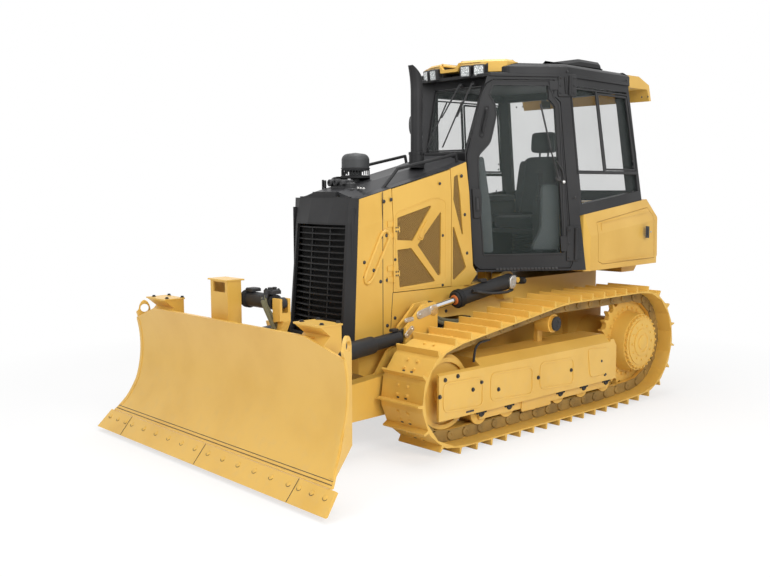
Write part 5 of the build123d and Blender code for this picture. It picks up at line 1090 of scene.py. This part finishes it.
roof = [capped([roof_plan(-318, 2700.3, 14), roof_plan(-318, 2722, 14), roof_plan(-322, 2726, 10)]),
        capped([roof_plan(-440, 2722, 12), roof_plan(-440, 2774, 12), roof_plan(-442, 2780, 7),
                roof_plan(-480, 2806, -46), roof_plan(-486, 2808, -56)])]
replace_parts(piece("roof_skin", roof, black_paint, "machine"), "cab_roof")
wedge = rounded(at_y([(-723, 2806), (-1208, 2888), (-1500, 2884), (-1545, 2806)], 0), 16)
flank = inset(wedge, LEFT, HUMP_BEVEL)
hump = capped([flank - LEFT * HUMP_HALF, wedge - LEFT * (HUMP_HALF - HUMP_BEVEL),
               wedge + LEFT * (HUMP_HALF - HUMP_BEVEL), flank + LEFT * HUMP_HALF])
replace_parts(piece("ac_hump", [hump], black_paint, "machine"), "ac_cover")
bay = [(-293, 84), (-350, 300), (-462, 448), (-580, 452), (-580, 84)]
lip = [(-293, 84), (-350, 300), (-372, 330), (-462, 448), (-474, 448), (-382, 330), (-360, 300),
       (-303, 84)]
cheek = [(-366, 340), (-452, 458), (-580, 462), (-580, 444), (-468, 440), (-386, 334)]
visor = []
for sign in (1, -1):
    top = rounded(at_z(bay, 2812, sign), 22, 4)
    visor += [capped([top, top + UP * 10, inset(top + UP * 28, UP, 26)]),
              slab(at_z(lip, 2800, sign), UP, 20), slab(at_z(cheek, 2742, sign), UP, 78)]
visor += [slab(rounded([(-280, -96, 2758), (-280, 96, 2758), (-280, 108, 2826), (-280, 66, 2782),
                        (-280, -66, 2782), (-280, -108, 2826)], 6, 2), (-1, 0, 0), 26),
          slab(at_z([(-300, -90), (-300, 90), (-580, 90), (-580, -90)], 2764), UP, 12)]
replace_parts(piece("visor", visor, yellow_paint, "machine"), "front_shroud")
housing = [slab(at_z([(-322, 100), (-366, 334), (-445, 334), (-445, 100)], 2722, sign), UP, 84)
           for sign in (1, -1)]
piece("lamp_housings", housing, lens_housing, "machine")
print("roof", COUNTS["roof_skin"], "visor", COUNTS["visor"])

# %% [markdown]
# ## Before the windscreen
# Two wipers hang from the roof's edge. Each has a drive, an arm that thins towards its end, a second
# thin rod and a blade. A bent hand loop stands at the front post, and round-headed bolts hold the
# roof's trim.

# %% Windscreen wipers, post loop and roof trim
wipers = []
for y0, y1, y2 in ((70, -60, -190), (200, 110, -20)):
    wipers += [plug(20, 18, (-352, y0, 2655), (0.85, 0, 0.5), 16, (4, 6), start=-6),
               tube([(-336, y0, 2660), (-290, (y0 + y1) / 2, 2520), (-262, y1, 2400)], [9, 7, 5], 6),
               tube([(-350, y0 - 26, 2640), (-300, (y0 + y1) / 2 - 22, 2500), (-268, y1 - 14, 2400)], 4, 6),
               slab([(-300, y1 + 26, 2520), (-300, y1 + 16, 2520), (-228, y2, 2160), (-228, y2 + 10, 2160)],
                    (1, 0, 0.35), 9, 2)]
loop = tube(curve([(-292, -392, 2440), (-250, -404, 2425), (-232, -400, 2360), (-240, -392, 2290),
                   (-280, -380, 2275)]), 9)
piece("screen_wipers", wipers + [loop], fastener_black, "machine")
pane = rounded([(-262, -218, 2128), (-262, 218, 2128), (-404, 262, 2634), (-404, -262, 2634)], 30)
piece("windscreen_seal", [rim(pane, unit([0.9629, 0, 0.2698]), 12, 6, sunk=2)], rubber, "machine")
roof_bolts = [studs(dome_bolt(8, 5), [(-430, 460, 2770), (-520, 520, 2770)], (0.56, 0.83, 0)),
              studs(dome_bolt(8, 5), [(-820, 766, 2740), (-1720, 726, 2740)], REAR_OUT),
              studs(dome_bolt(9, 5), [(-2000, 700, 2620), (-2100, 700, 2630)], LEFT),
              studs(dome_bolt(9, 5), [(-460, 446, 2800)], (0.3, 1, 0))]
piece("roof_bolts", both(roof_bolts), fastener_black, "machine")
print("front of the cab", COUNTS["screen_wipers"])

# %% [markdown]
# ## Seat
# The seat is upholstered foam, so each cushion is a closed pillow: a box whose sides bulge, made from
# the sines and cosines of a sphere's two angles, each raised to a power below one, with sewn channels
# as shallow grooves across it. A power near 0.3 gives full sides with soft edges, and one level of
# subdivision smooths the rest.

# %% Cushions
POWER, CROWN, POLE_ANGLE = 0.34, 0.10, 0.06
GROOVE_DEPTH, GROOVE_FROM = 25.0, 0.82


def signed(value):
    """The value's power, with its sign kept."""
    return np.sign(value) * np.abs(value) ** POWER


def pillow(centre, half, lean=0.0, channels=0, rows=28, count=48):
    """x, y and z are the half sizes times signed powers of the sphere's sines and cosines. The crown
    lifts the middle, and channels sink it by the tips of a cosine across the width."""
    v = np.linspace(POLE_ANGLE - np.pi / 2, np.pi / 2 - POLE_ANGLE, rows)[:, None]
    u = np.linspace(0, 2 * np.pi, count, endpoint=False)[None, :]
    x = signed(np.cos(v)) * signed(np.cos(u)) * half[0]
    y = signed(np.cos(v)) * signed(np.sin(u)) * half[1]
    z = signed(np.sin(v)) * half[2] + 0 * u
    middle = (1 - (x / half[0]) ** 2) * (1 - (y / half[1]) ** 2)
    z = z * (1 + CROWN * middle)
    if channels:
        tips = np.clip(np.cos(x / half[0] * np.pi * channels) - GROOVE_FROM, 0, 1)
        z = z - np.sign(z) * GROOVE_DEPTH * tips * middle ** 0.5
    cos, sin = math.cos(math.radians(lean)), math.sin(math.radians(lean))
    return capped(np.stack([x * cos + z * sin, y, z * cos - x * sin], -1) + np.asarray(centre, float))


def cushion(name, parts):
    thing = piece(name, parts, seat_fabric, "machine", sharp=80)
    smooth = thing.modifiers.new("smooth", "SUBSURF")
    smooth.levels = smooth.render_levels = 1
    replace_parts(thing, "seat")


cushion("seat_base", [pillow((-1325, 0, 1532), (245, 236, 56), channels=4),
                      pillow((-1325, 214, 1556), (226, 34, 40)),
                      pillow((-1325, -214, 1556), (226, 34, 40))])
cushion("seat_back", [pillow((-1508, 0, 1850), (262, 226, 48), lean=-100, channels=5),
                      pillow((-1478, 196, 1840), (236, 38, 44), lean=-100),
                      pillow((-1478, -196, 1840), (236, 38, 44), lean=-100)])
cushion("head_rest", [pillow((-1542, 0, 2236), (92, 128, 44), lean=-94)])
cushion("arm_rests", both([pillow((-1270, 292, 1742), (190, 42, 26))]))
bellows = [(1240 + 16.0 * fold, 178 if fold % 2 else 158) for fold in range(13)]
shell = rounded(at_y([(-1550, 1500), (-1480, 1500), (-1560, 2110), (-1610, 2110)], -190), 30)
seat_frame = [box((-1560, -180, 1216), (-1180, 180, 1240)), box((-1580, -226, 1440), (-1090, 226, 1478))]
seat_frame += [tube([(-1534, y, 2080), (-1540, y, 2180)], 8) for y in (-46, 46)]
seat_frame += [slab(shell, LEFT, 380, 10), turned(bellows, (-1370, 0, 0), UP, 28)]
piece("seat_frame", seat_frame, trim_plastic, "machine")
print("seat", COUNTS["seat_base"], COUNTS["seat_back"])

# %% [markdown]
# ## Controls
# Joysticks on the arm consoles, a display and a pedal are what shows through the glass. The liners
# close the door frame's inner side, which would otherwise show the bare edge of the sheet.

# %% Controls
controls = []
for sign in (1, -1):
    stick = curve([(-1045, sign * 355, 1850), (-1040, sign * 352, 1900), (-1030, sign * 350, 1950)])
    controls += [tube(stick, np.linspace(17, 25, len(stick)), 14),
                 turned([(0, 26), (16, 30), (26, 26), (32, 14), (33, POLE)], (-1030, sign * 350, 1945),
                        (0.1, 0, 1), 20),
                 turned([(1720, 52), (1732, 46), (1744, 50), (1756, 40), (1768, 43), (1784, 28),
                         (1800, 24)], (-1048, sign * 355, 0), UP, 20),
                 box((-1470, sign * 360 - 54, 1719), (-1110, sign * 360 + 54, 1738), 8)]
controls += [box((-640, -330, 1900), (-600, -120, 2050), 10), box((-640, -240, 1560), (-610, -200, 1910), 6),
             slab(rounded([(-560, -120, 1300), (-560, -40, 1300), (-520, -40, 1400), (-520, -120, 1400)], 12),
                  (1, 0, -0.4), -14, 0), box((-600, 60, 1262), (-540, 140, 1280), 6),
             tube([(-560, 100, 1290), (-520, 100, 1400)], 9)]
piece("controls", controls, trim_plastic, "machine")
display = rounded([(-641, -315, 1915), (-641, -135, 1915), (-641, -135, 2035), (-641, -315, 2035)], 8)
piece("display", [slab(display, (-1, 0, 0), 2, 0.5)], lens_housing, "machine")
liners = [slab(rounded(on_door([(20, 2080), (60, 1320), (150, 1320), (120, 1700), (60, 2080)], -66), 30),
               DOOR_OUT, 8, 2),
          slab(rounded(on_door([(560, 1860), (700, 1860), (730, 1330), (470, 1330), (560, 1500)], -150), 50),
               DOOR_OUT, 40, 8)]
piece("cab_liners", both(liners), interior_grey, "machine")
print("controls", COUNTS["controls"])

# %% [markdown]
# ## Cylinders and hoses
# A hydraulic cylinder is dressed with a gland at the rod's end, a seal, and hoses with crimped
# fittings. Each cylinder's details are drawn along the line between its two pins, which is also how
# the CAD places them, and ride on the barrel, or on the ball for the angle cylinder's plate.

# %% Along a cylinder
def cylinder_line(base, eye):
    """Origin and direction from the base pin to the rod's eye."""
    base, eye = np.asarray(base, float), np.asarray(eye, float)
    return base, unit(eye - base)


def gland(origin, way, end, outer, rod):
    """Three ribs on the barrel's collar, a nut before it, and an orange wiper seal on the rod."""
    black = [turned([(start, outer - 3), (start + 1, outer + 3), (start + 7, outer + 3),
                     (start + 8, outer - 3)], origin, way, 40, hollow=True)
             for start in (end - 44, end - 30, end - 16)]
    black.append(turned([(end - 2, rod + 4), (end - 2, outer - 8), (end + 13, outer - 8),
                         (end + 16, outer - 12), (end + 16, rod + 4)], origin, way, 12, hollow=True))
    orange = turned([(end + 15, rod + 1), (end + 15, rod + 13), (end + 21, rod + 12),
                     (end + 22, rod + 1)], origin, way, 32, hollow=True)
    return black, [orange]


def fitting(place, way, radius):
    """Hexagon, crimped sleeve and collar of a hose end."""
    return [plug(radius * 1.25, 15, place, way, 6, (1, radius * 0.25)),
            plug(radius, 47, place, way, 16, (3, radius * 0.2), start=14),
            plug(radius * 1.08, 25, place, way, 16, (1, radius * 0.08), start=20)]


def hose(points, radius):
    """A hose through points, and a fitting at each end that points along it."""
    path, wide = curve(points, 40), radius * 1.15
    ends = fitting(path[0], path[1] - path[0], wide) + fitting(path[-1], path[-2] - path[-1], wide)
    return [tube(path, radius, 12)], ends


LIFT = cylinder_line((-519, 490, 1104), (451, 490, 954))
ANGLE = cylinder_line((672, 490, 785), (1705, 500, 690))
lift_black, lift_seal = gland(*LIFT, 680, 68, 25)
angle_black, angle_seal = gland(*ANGLE, 700, 56, 24)
LIFT_UP = unit(np.cross(LIFT[1], -LEFT))


def along_lift(distance, side, up):
    """A point near the lift cylinder: so far along its line, beside it and above it."""
    return LIFT[0] + LIFT[1] * distance + LEFT * side + LIFT_UP * up


hose_run = [along_lift(60, 30, 66), along_lift(160, 62, 60), along_lift(330, 72, 30),
            along_lift(470, 74, -10), along_lift(560, 66, -42)]
lift_hose, hose_ends = hose(hose_run, 11)
lift_black += [box((-600, 505, 1070), (-545, 556, 1122), 6), plug(22, 20, (-566, 556, 1096), LEFT, 6),
               box((-180, 470, 1112), (-110, 510, 1136), 5)] + hose_ends
oval = rounded(at_y([(-480, 1152), (-402, 1140), (-396, 1036), (-470, 1048)], 551), 44, 7)
lift_steel = [slab(oval, LEFT, 10, 2.5, sunk=6),
              studs(hex_bolt(9, 7), at_y([(-432, 1124), (-442, 1066)], 561), LEFT)]
angle_black += [turned([(340, 49), (340, 60), (352, 62), (610, 62), (622, 60), (622, 49)], *ANGLE, 40,
                       hollow=True), box((770, 470, 826), (830, 510, 846), 5)]
ball_plate = rounded(at_z([(640, 452), (704, 452), (704, 528), (640, 528)], 829), 24)
angle_steel = [slab(ball_plate, UP, 8, 2), studs(hex_bolt(9, 7), [(654, 490, 837), (690, 490, 837)], UP)]
for side, sign in SIDES:
    for name, parts, finish, body, slot in (
            ("lift_fittings", lift_black, black_paint, "lift_barrel", "black_paint"),
            ("lift_plate", lift_steel, bare_steel, "lift_barrel", "bare_steel"),
            ("lift_seal", lift_seal, seal_orange, "lift_barrel", "black_paint"),
            ("lift_hose", lift_hose, rubber, "lift_barrel", "black_paint"),
            ("angle_fittings", angle_black, black_paint, "angle_barrel", "black_paint"),
            ("angle_seal", angle_seal, seal_orange, "angle_barrel", "black_paint"),
            ("angle_plate", angle_steel, bare_steel, "angle_ball", "bare_steel")):
        piece(f"{name}_{side}", on_side(parts, sign), finish, f"{body}_{side}")
print("cylinders", COUNTS["lift_fittings_left"], COUNTS["angle_fittings_left"])

# %% [markdown]
# ## Hoses, tilt cylinder and arm plates
# The hoses are smooth curves through a few points, with a fitting at each end that points along the
# curve; the tilt cylinder's hoses keep only the fitting at their first end. The bright plates on the
# C-frame's arms run along a line between two bolts, so their corners are that line's ends, moved half
# the plate's width ahead and to the sides.

# %% Hoses between the frame and the C-frame, and the tilt cylinder's dress
runs = [[(331, 384, 938), (300, 386, 880), (259, 386, 841), (163, 386, 806), (16, 384, 790),
         (-90, 382, 800)],
        [(331, 366, 968), (290, 372, 905), (240, 374, 862), (150, 374, 830), (10, 372, 812),
         (-90, 370, 822)]]
olive, ends = [], []
for run in runs:
    cloth, metal = hose(run, 14)
    olive += cloth
    ends += metal
ends += [box((300, 330, 915), (372, 400, 992), 6), box((-120, 334, 780), (-80, 400, 840), 6)]
piece("frame_hoses", both(olive), braid_olive, "machine")
piece("frame_hose_ends", both(ends), black_paint, "machine")
TILT_BASE, TILT_TOP = (1642, 300, 1085), 1168
tilt_black, tilt_seal = gland(TILT_BASE, -LEFT, 400, 60, 24)
port_bolts = at_z([(1616, 166), (1668, 166), (1616, 234), (1668, 234)], TILT_TOP)
tilt_black += [box((1604, 150, 1140), (1680, 250, TILT_TOP), 6), box((1604, -60, 1140), (1680, 20, 1164), 6),
               plug(16, 16, (1624, 200, TILT_TOP), UP, 6), plug(16, 16, (1660, 200, TILT_TOP), UP, 6),
               studs(hex_bolt(8, 7), port_bolts, UP)]
tilt_cloth = []
for shift, start in ((0, (1703, 180, 1130)), (34, (1682, 200, 1154))):
    cloth, metal = hose([start, (1726 - shift / 2, 214, 1082), (1700 - shift, 262, 960),
                         (1650 - shift, 250, 860), (1600 - shift, 190, 760)], 13)
    tilt_cloth += cloth
    tilt_black += metal[:3]
piece("tilt_fittings", tilt_black, black_paint, "tilt_barrel")
piece("tilt_seal", tilt_seal, seal_orange, "tilt_barrel")
piece("tilt_hoses", tilt_cloth, braid_olive, "tilt_barrel")
keeper = rounded(at_y([(-377, 450), (-285, 464), (-269, 394), (-361, 378)], 552), 22, 5)
keeper_bolts = studs(hex_bolt(8, 5), at_y([(-359, 432), (-289, 432)], 562), LEFT)
piece("pivot_keepers", both([slab(keeper, LEFT, 10, 1.0), keeper_bolts]), bare_steel, "machine")
ARM_SIDE, PLATE_THICK = 540.5, 7
arm = [studs(hex_bolt(10, 8), at_y([(360, 800), (420, 812), (480, 812)], 541), LEFT),
       slab(rounded(at_y([(512, 700), (470, 700), (470, 640), (512, 640)], ARM_SIDE), 12), LEFT, 6, 2),
       studs(hex_bolt(9, 7), at_y([(491, 684), (491, 656)], 546), LEFT)]
for (x0, z0), (x1, z1), size in (((468, 958), (592, 930), 30), ((670, 908), (730, 903), 15),
                                 ((672, 836), (722, 796), 21)):
    ahead = size * np.array([x1 - x0, z1 - z0]) / math.hypot(x1 - x0, z1 - z0)
    corners = [(x0 - ahead[0] + s * ahead[1], z0 - ahead[1] - s * ahead[0]) for s in (1, -1)]
    corners += [(x1 + ahead[0] + s * ahead[1], z1 + ahead[1] - s * ahead[0]) for s in (-1, 1)]
    arm += [slab(rounded(at_y(corners, ARM_SIDE), size * 0.9, 4), LEFT, PLATE_THICK, 1.5),
            studs(dome_bolt(size * 0.36, 5), at_y([(x0, z0), (x1, z1)], ARM_SIDE + PLATE_THICK), LEFT)]
piece("arm_plates", both(arm), bare_steel, "c_frame")
print("hoses", COUNTS["frame_hoses"], COUNTS["tilt_hoses"])

# %% [markdown]
# ## Blade
# The moldboard is a rolled plate whose face is one arc. Points of the arc come from the circle
# through its top, middle and foot, so that the welded strips and the bolts lie on the CAD surface.
# The cutting edges are bolted on with countersunk bolts whose heads show as small crescents. The black
# crescent on one side of each head is painted shade in the countersink round it.

# %% Edge bolts, strips and blade trim
ARC = np.array([(2056.0, 154.0), (1862.0, 640.0), (1922.0, 966.0)])
lines = 2 * (ARC[1:] - ARC[0])
ARC_CENTRE = np.linalg.solve(lines, (ARC[1:] ** 2).sum(1) - (ARC[0] ** 2).sum())
ARC_RADIUS = np.linalg.norm(ARC[0] - ARC_CENTRE)


def face_x(z):
    """The blade face's x at a height: the centre's x minus the circle's half chord there."""
    return ARC_CENTRE[0] - np.sqrt(ARC_RADIUS ** 2 - (np.asarray(z, float) - ARC_CENTRE[1]) ** 2)


def face_strip(z_low, z_high, half, height, steps=6):
    """A strip across the blade's face between two heights, as a closed prism that follows it."""
    z = np.linspace(z_low, z_high, steps)
    front = np.stack([face_x(z) + height, z], 1)
    back = np.stack([face_x(z) - 3, z], 1)[::-1]
    ring = np.concatenate([back[-1:], front, back[:-1]])
    return capped([np.insert(ring, 1, side, axis=1) for side in (-half, half)])


BAND_WIDTH, BAND_HEIGHT, BAND_SUNK = 34, 4.0, 3.0
z = np.linspace(200, 850, 24)
half = np.interp(z, [154, 260, 400, 862], [1303, 1248, 1216, 1222]) - 4
top, foot = face_x(z) + BAND_HEIGHT, face_x(z) - BAND_SUNK
corners = ((top, half), (top, half - BAND_WIDTH), (foot, half - BAND_WIDTH), (foot, half))
strips_across = [face_strip(158, 168, 1296, 5), face_strip(176, 187, 1284, 4)]
end_bands = [capped(np.stack([np.stack([x, sign * y, z], 1) for x, y in corners], 1)) for sign in (1, -1)]
grooves = [face_strip(z, z + 3, half, 1.0) for z, half in ((170, 1288), (188, 1280))]
piece("blade_grooves", grooves, fastener_black, "blade")
piece("blade_strips", strips_across + end_bands, yellow_paint, "blade")
EDGE_OUT, EDGE_WAY = unit([123.0, 0, 105.0]), unit([105.0, 0, -123.0])
BOLT_LINE = 52
row = np.array([2056.0, 0, 154.0]) + EDGE_WAY * BOLT_LINE + EDGE_OUT * 0.5
spots = [row + LEFT * y
         for low_y, high_y, count in ((-1290, -1050, 3), (-950, -80, 6), (80, 950, 6), (1050, 1290, 3))
         for y in np.linspace(low_y, high_y, count)]
head = turned([(-1, 17), (0.8, 17), (2.2, 13), (2.5, POLE)], (0, 0, 0), UP, 12)
# Painted shade: a black crescent beside one side of each bolt head.
angle = np.linspace(-1.25, 1.25, 9)
crescent = tube(np.stack([21 * np.sin(angle), -21 * np.cos(angle), angle * 0 + 0.5], 1),
                1.1 * np.cos(angle * 0.9) + 0.4, 6)
piece("edge_bolts", [studs(head, spots, EDGE_OUT)], yellow_cast, "blade")
piece("edge_bolt_shade", [studs(crescent, spots, EDGE_OUT)], fastener_black, "blade")
joint_lines = [slab([(2060, y - 2, 152), (2060, y + 2, 152), (2160, y + 2, 33), (2160, y - 2, 33)],
                    EDGE_OUT, 1.2) for y in (-1012, 0, 1012)]
piece("edge_joints", joint_lines, fastener_black, "blade")
mast_bolts = [studs(hex_bolt(12, 9), [(x, sign * y, 1037.5) for sign in (1, -1) for y in (800, 990)], UP)
              for x in (1735, 1862)]
grease = [turned([(0, 7), (8, 7), (10, 4), (16, 4), (18, 2)], (1705, y, 780), UP, 8)
          for y in (500, -500)]
piece("blade_hardware", mast_bolts, black_paint, "blade")
piece("grease_points", grease, bare_steel, "blade")
print("blade", COUNTS["blade_strips"], COUNTS["edge_bolts"])

# %% [markdown]
# ## Rear
# The rear boxes hold the tank's cap and the battery. Their doors have a flush latch in a small
# recess, and the pressed outline around each door catches a thin line of light.

# %% Latches, cap and rear plate
SERVICE_SIDE = 833
door_rim = rounded(at_y([(-1228, 1545), (-1990, 1640), (-2085, 1562), (-2098, 1222), (-1255, 1222)],
                        SERVICE_SIDE), 20)
recess = rounded(at_y([(-1905, 1500), (-1962, 1494), (-1962, 1392), (-1905, 1396)], SERVICE_SIDE), 6)
tongue = rounded(at_y([(-1928, 1478), (-1950, 1476), (-1950, 1412), (-1928, 1414)], SERVICE_SIDE + 3), 5)
latch = [slab(recess, LEFT, 3, 1), slab(tongue, LEFT, 5, 1.5)]
lock = plug(9, 5, (-1985, SERVICE_SIDE + 1, 1446), LEFT, 14, (1, 2))
for side, sign in SIDES:
    for name, parts, finish, slot in (("rim", [rim(door_rim, LEFT, 5, 2)], yellow_paint, "yellow_paint"),
                                      ("latch", latch, fastener_black, "black_paint"),
                                      ("lock", [lock], bare_steel, "bare_steel")):
        piece(f"service_{name}_{side}", on_side(parts, sign), finish, f"service_door_{side}")
cap = turned([(0, 62), (10, 62), (12, 52), (34, 50), (40, 42), (40, POLE)], (-2010, 400, 1722), UP, 32)
piece("tank_cap", [cap], fastener_black, "machine")
grabs = [box((-2162, -420, 1180), (-2155, 420, 1220), 2)]
grabs += [tube(curve([(-2150, y, 1660), (-2180, y, 1650), (-2180, y, 1420), (-2150, y, 1410)]), 11)
          for y in (560, -560)]
piece("rear_grabs", grabs, black_paint, "machine")
pin = [turned([(400, 21.5), (654, 21.5), (654, 34), (670, 34), (672, 30), (672, POLE)], (-2060, 0, 0),
              UP, 24), tube([(-2060, -42, 664), (-2060, 42, 664)], 5)]
piece("hitch_pin", pin, bare_steel, "machine")
print("triangles added", sum(COUNTS.values()), "in", len(COUNTS), "pieces")

# %% [markdown]
# ## Studio
# A product picture has a white ground without a horizon. The floor is a real surface that takes the
# machine's shadow near it and fades to pure white further out. The world is white only for the
# camera and for reflections, and gives an even, weaker light to everything else.

# %% World and lamps
EVEN_LIGHT = 0.42
world = bpy.data.worlds.new("studio")
world.use_nodes = True
bpy.context.scene.world = world
tree = world.node_tree
paths = tree.nodes.new("ShaderNodeLightPath")
seen = tree.nodes.new("ShaderNodeMath")
seen.operation = "MAXIMUM"
shiny = tree.nodes.new("ShaderNodeMath")
shiny.operation = "MAXIMUM"
tree.links.new(paths.outputs["Is Transmission Ray"], shiny.inputs[0])
tree.links.new(paths.outputs["Is Glossy Ray"], shiny.inputs[1])
tree.links.new(paths.outputs["Is Camera Ray"], seen.inputs[0])
tree.links.new(shiny.outputs[0], seen.inputs[1])
level_range = tree.nodes.new("ShaderNodeMapRange")
tree.links.new(seen.outputs[0], level_range.inputs["Value"])
level_range.inputs["To Min"].default_value = EVEN_LIGHT
level_range.inputs["To Max"].default_value = 1.0
background = tree.nodes["Background"]
background.inputs["Color"].default_value = (1, 1, 1, 1)
tree.links.new(level_range.outputs["Result"], background.inputs["Strength"])


def lamp(name, place, target, width, height, watts):
    """A rectangular lamp. Its matrix holds its side, its top and the way back from the target."""
    data = bpy.data.lights.new(name, "AREA")
    data.shape = "RECTANGLE"
    data.size, data.size_y = width, height
    data.energy = watts
    body = bpy.data.objects.new(name, data)
    bpy.context.collection.objects.link(body)
    back = unit(np.array(place) - np.array(target))
    side = unit(np.cross(UP, back))
    turn = np.eye(4)
    turn[:3, 0], turn[:3, 1], turn[:3, 2], turn[:3, 3] = side, np.cross(back, side), back, place
    body.matrix_world = Matrix(turn)


lamp("key", (3.0, 9.0, 6.0), (0, 0, 1), 5, 4, 560)
lamp("front", (9.0, 0.5, 5.0), (0, 0, 1), 4, 4, 190)
lamp("top", (-0.5, -0.5, 9.0), (0, 0, 1), 5, 5, 420)
bpy.context.scene.view_settings.view_transform = "Standard"

# %% [markdown]
# ## Floor
# The floor is a wide disc with its rings closer together in the middle. Near the machine it is white
# paper that takes shadow. Further out, and only for the camera, a white glow takes over, so that the
# ground ends without an edge and lights nothing.

# %% The floor
def disc(radius, rings, spokes):
    """Rings of points: x and y are the ring's radius times cosine and sine, z is nought."""
    reach = np.linspace(0, 1, rings + 1)[1:, None] ** 2 * radius
    angle = np.linspace(0, 2 * np.pi, spokes, endpoint=False)[None, :]
    x, y = reach * np.cos(angle), reach * np.sin(angle)
    points = np.stack([x, y, x * 0], -1).reshape(-1, 3)
    here = np.arange((rings - 1) * spokes).reshape(rings - 1, spokes)
    beside = np.roll(here, -1, 1)
    quads = np.stack([here, here + spokes, beside + spokes, beside], -1).reshape(-1, 4)
    return points, [list(range(spokes))] + quads.tolist()


points, faces = disc(60, 12, 64)
ground = bpy.data.meshes.new("studio_floor")
ground.from_pydata((points - [0, 0, 0.001]).tolist(), [], faces)
floor = bpy.data.objects.new("studio_floor", ground)
bpy.context.collection.objects.link(floor)
paper = Finish("studio_paper", (0.90, 0.90, 0.90), roughness=1.0)
x, y, _ = paper.axes()
far = (x * x + y * y).between(4.0, 30.0)
seen = paper.node("ShaderNodeLightPath", output="Is Camera Ray")
glow = paper.node("ShaderNodeEmission", inputs={"Color": (1, 1, 1), "Strength": 1.0})
share = seen * (far * 0.35 + 0.65)
shown = paper.node("ShaderNodeMixShader", inputs={0: share, 1: Wire(paper, paper.shader.outputs[0]), 2: glow})
paper.tree.links.new(shown.socket, paper.tree.nodes["Material Output"].inputs["Surface"])
ground.materials.append(paper.material)
print("floor", len(ground.polygons), "faces")
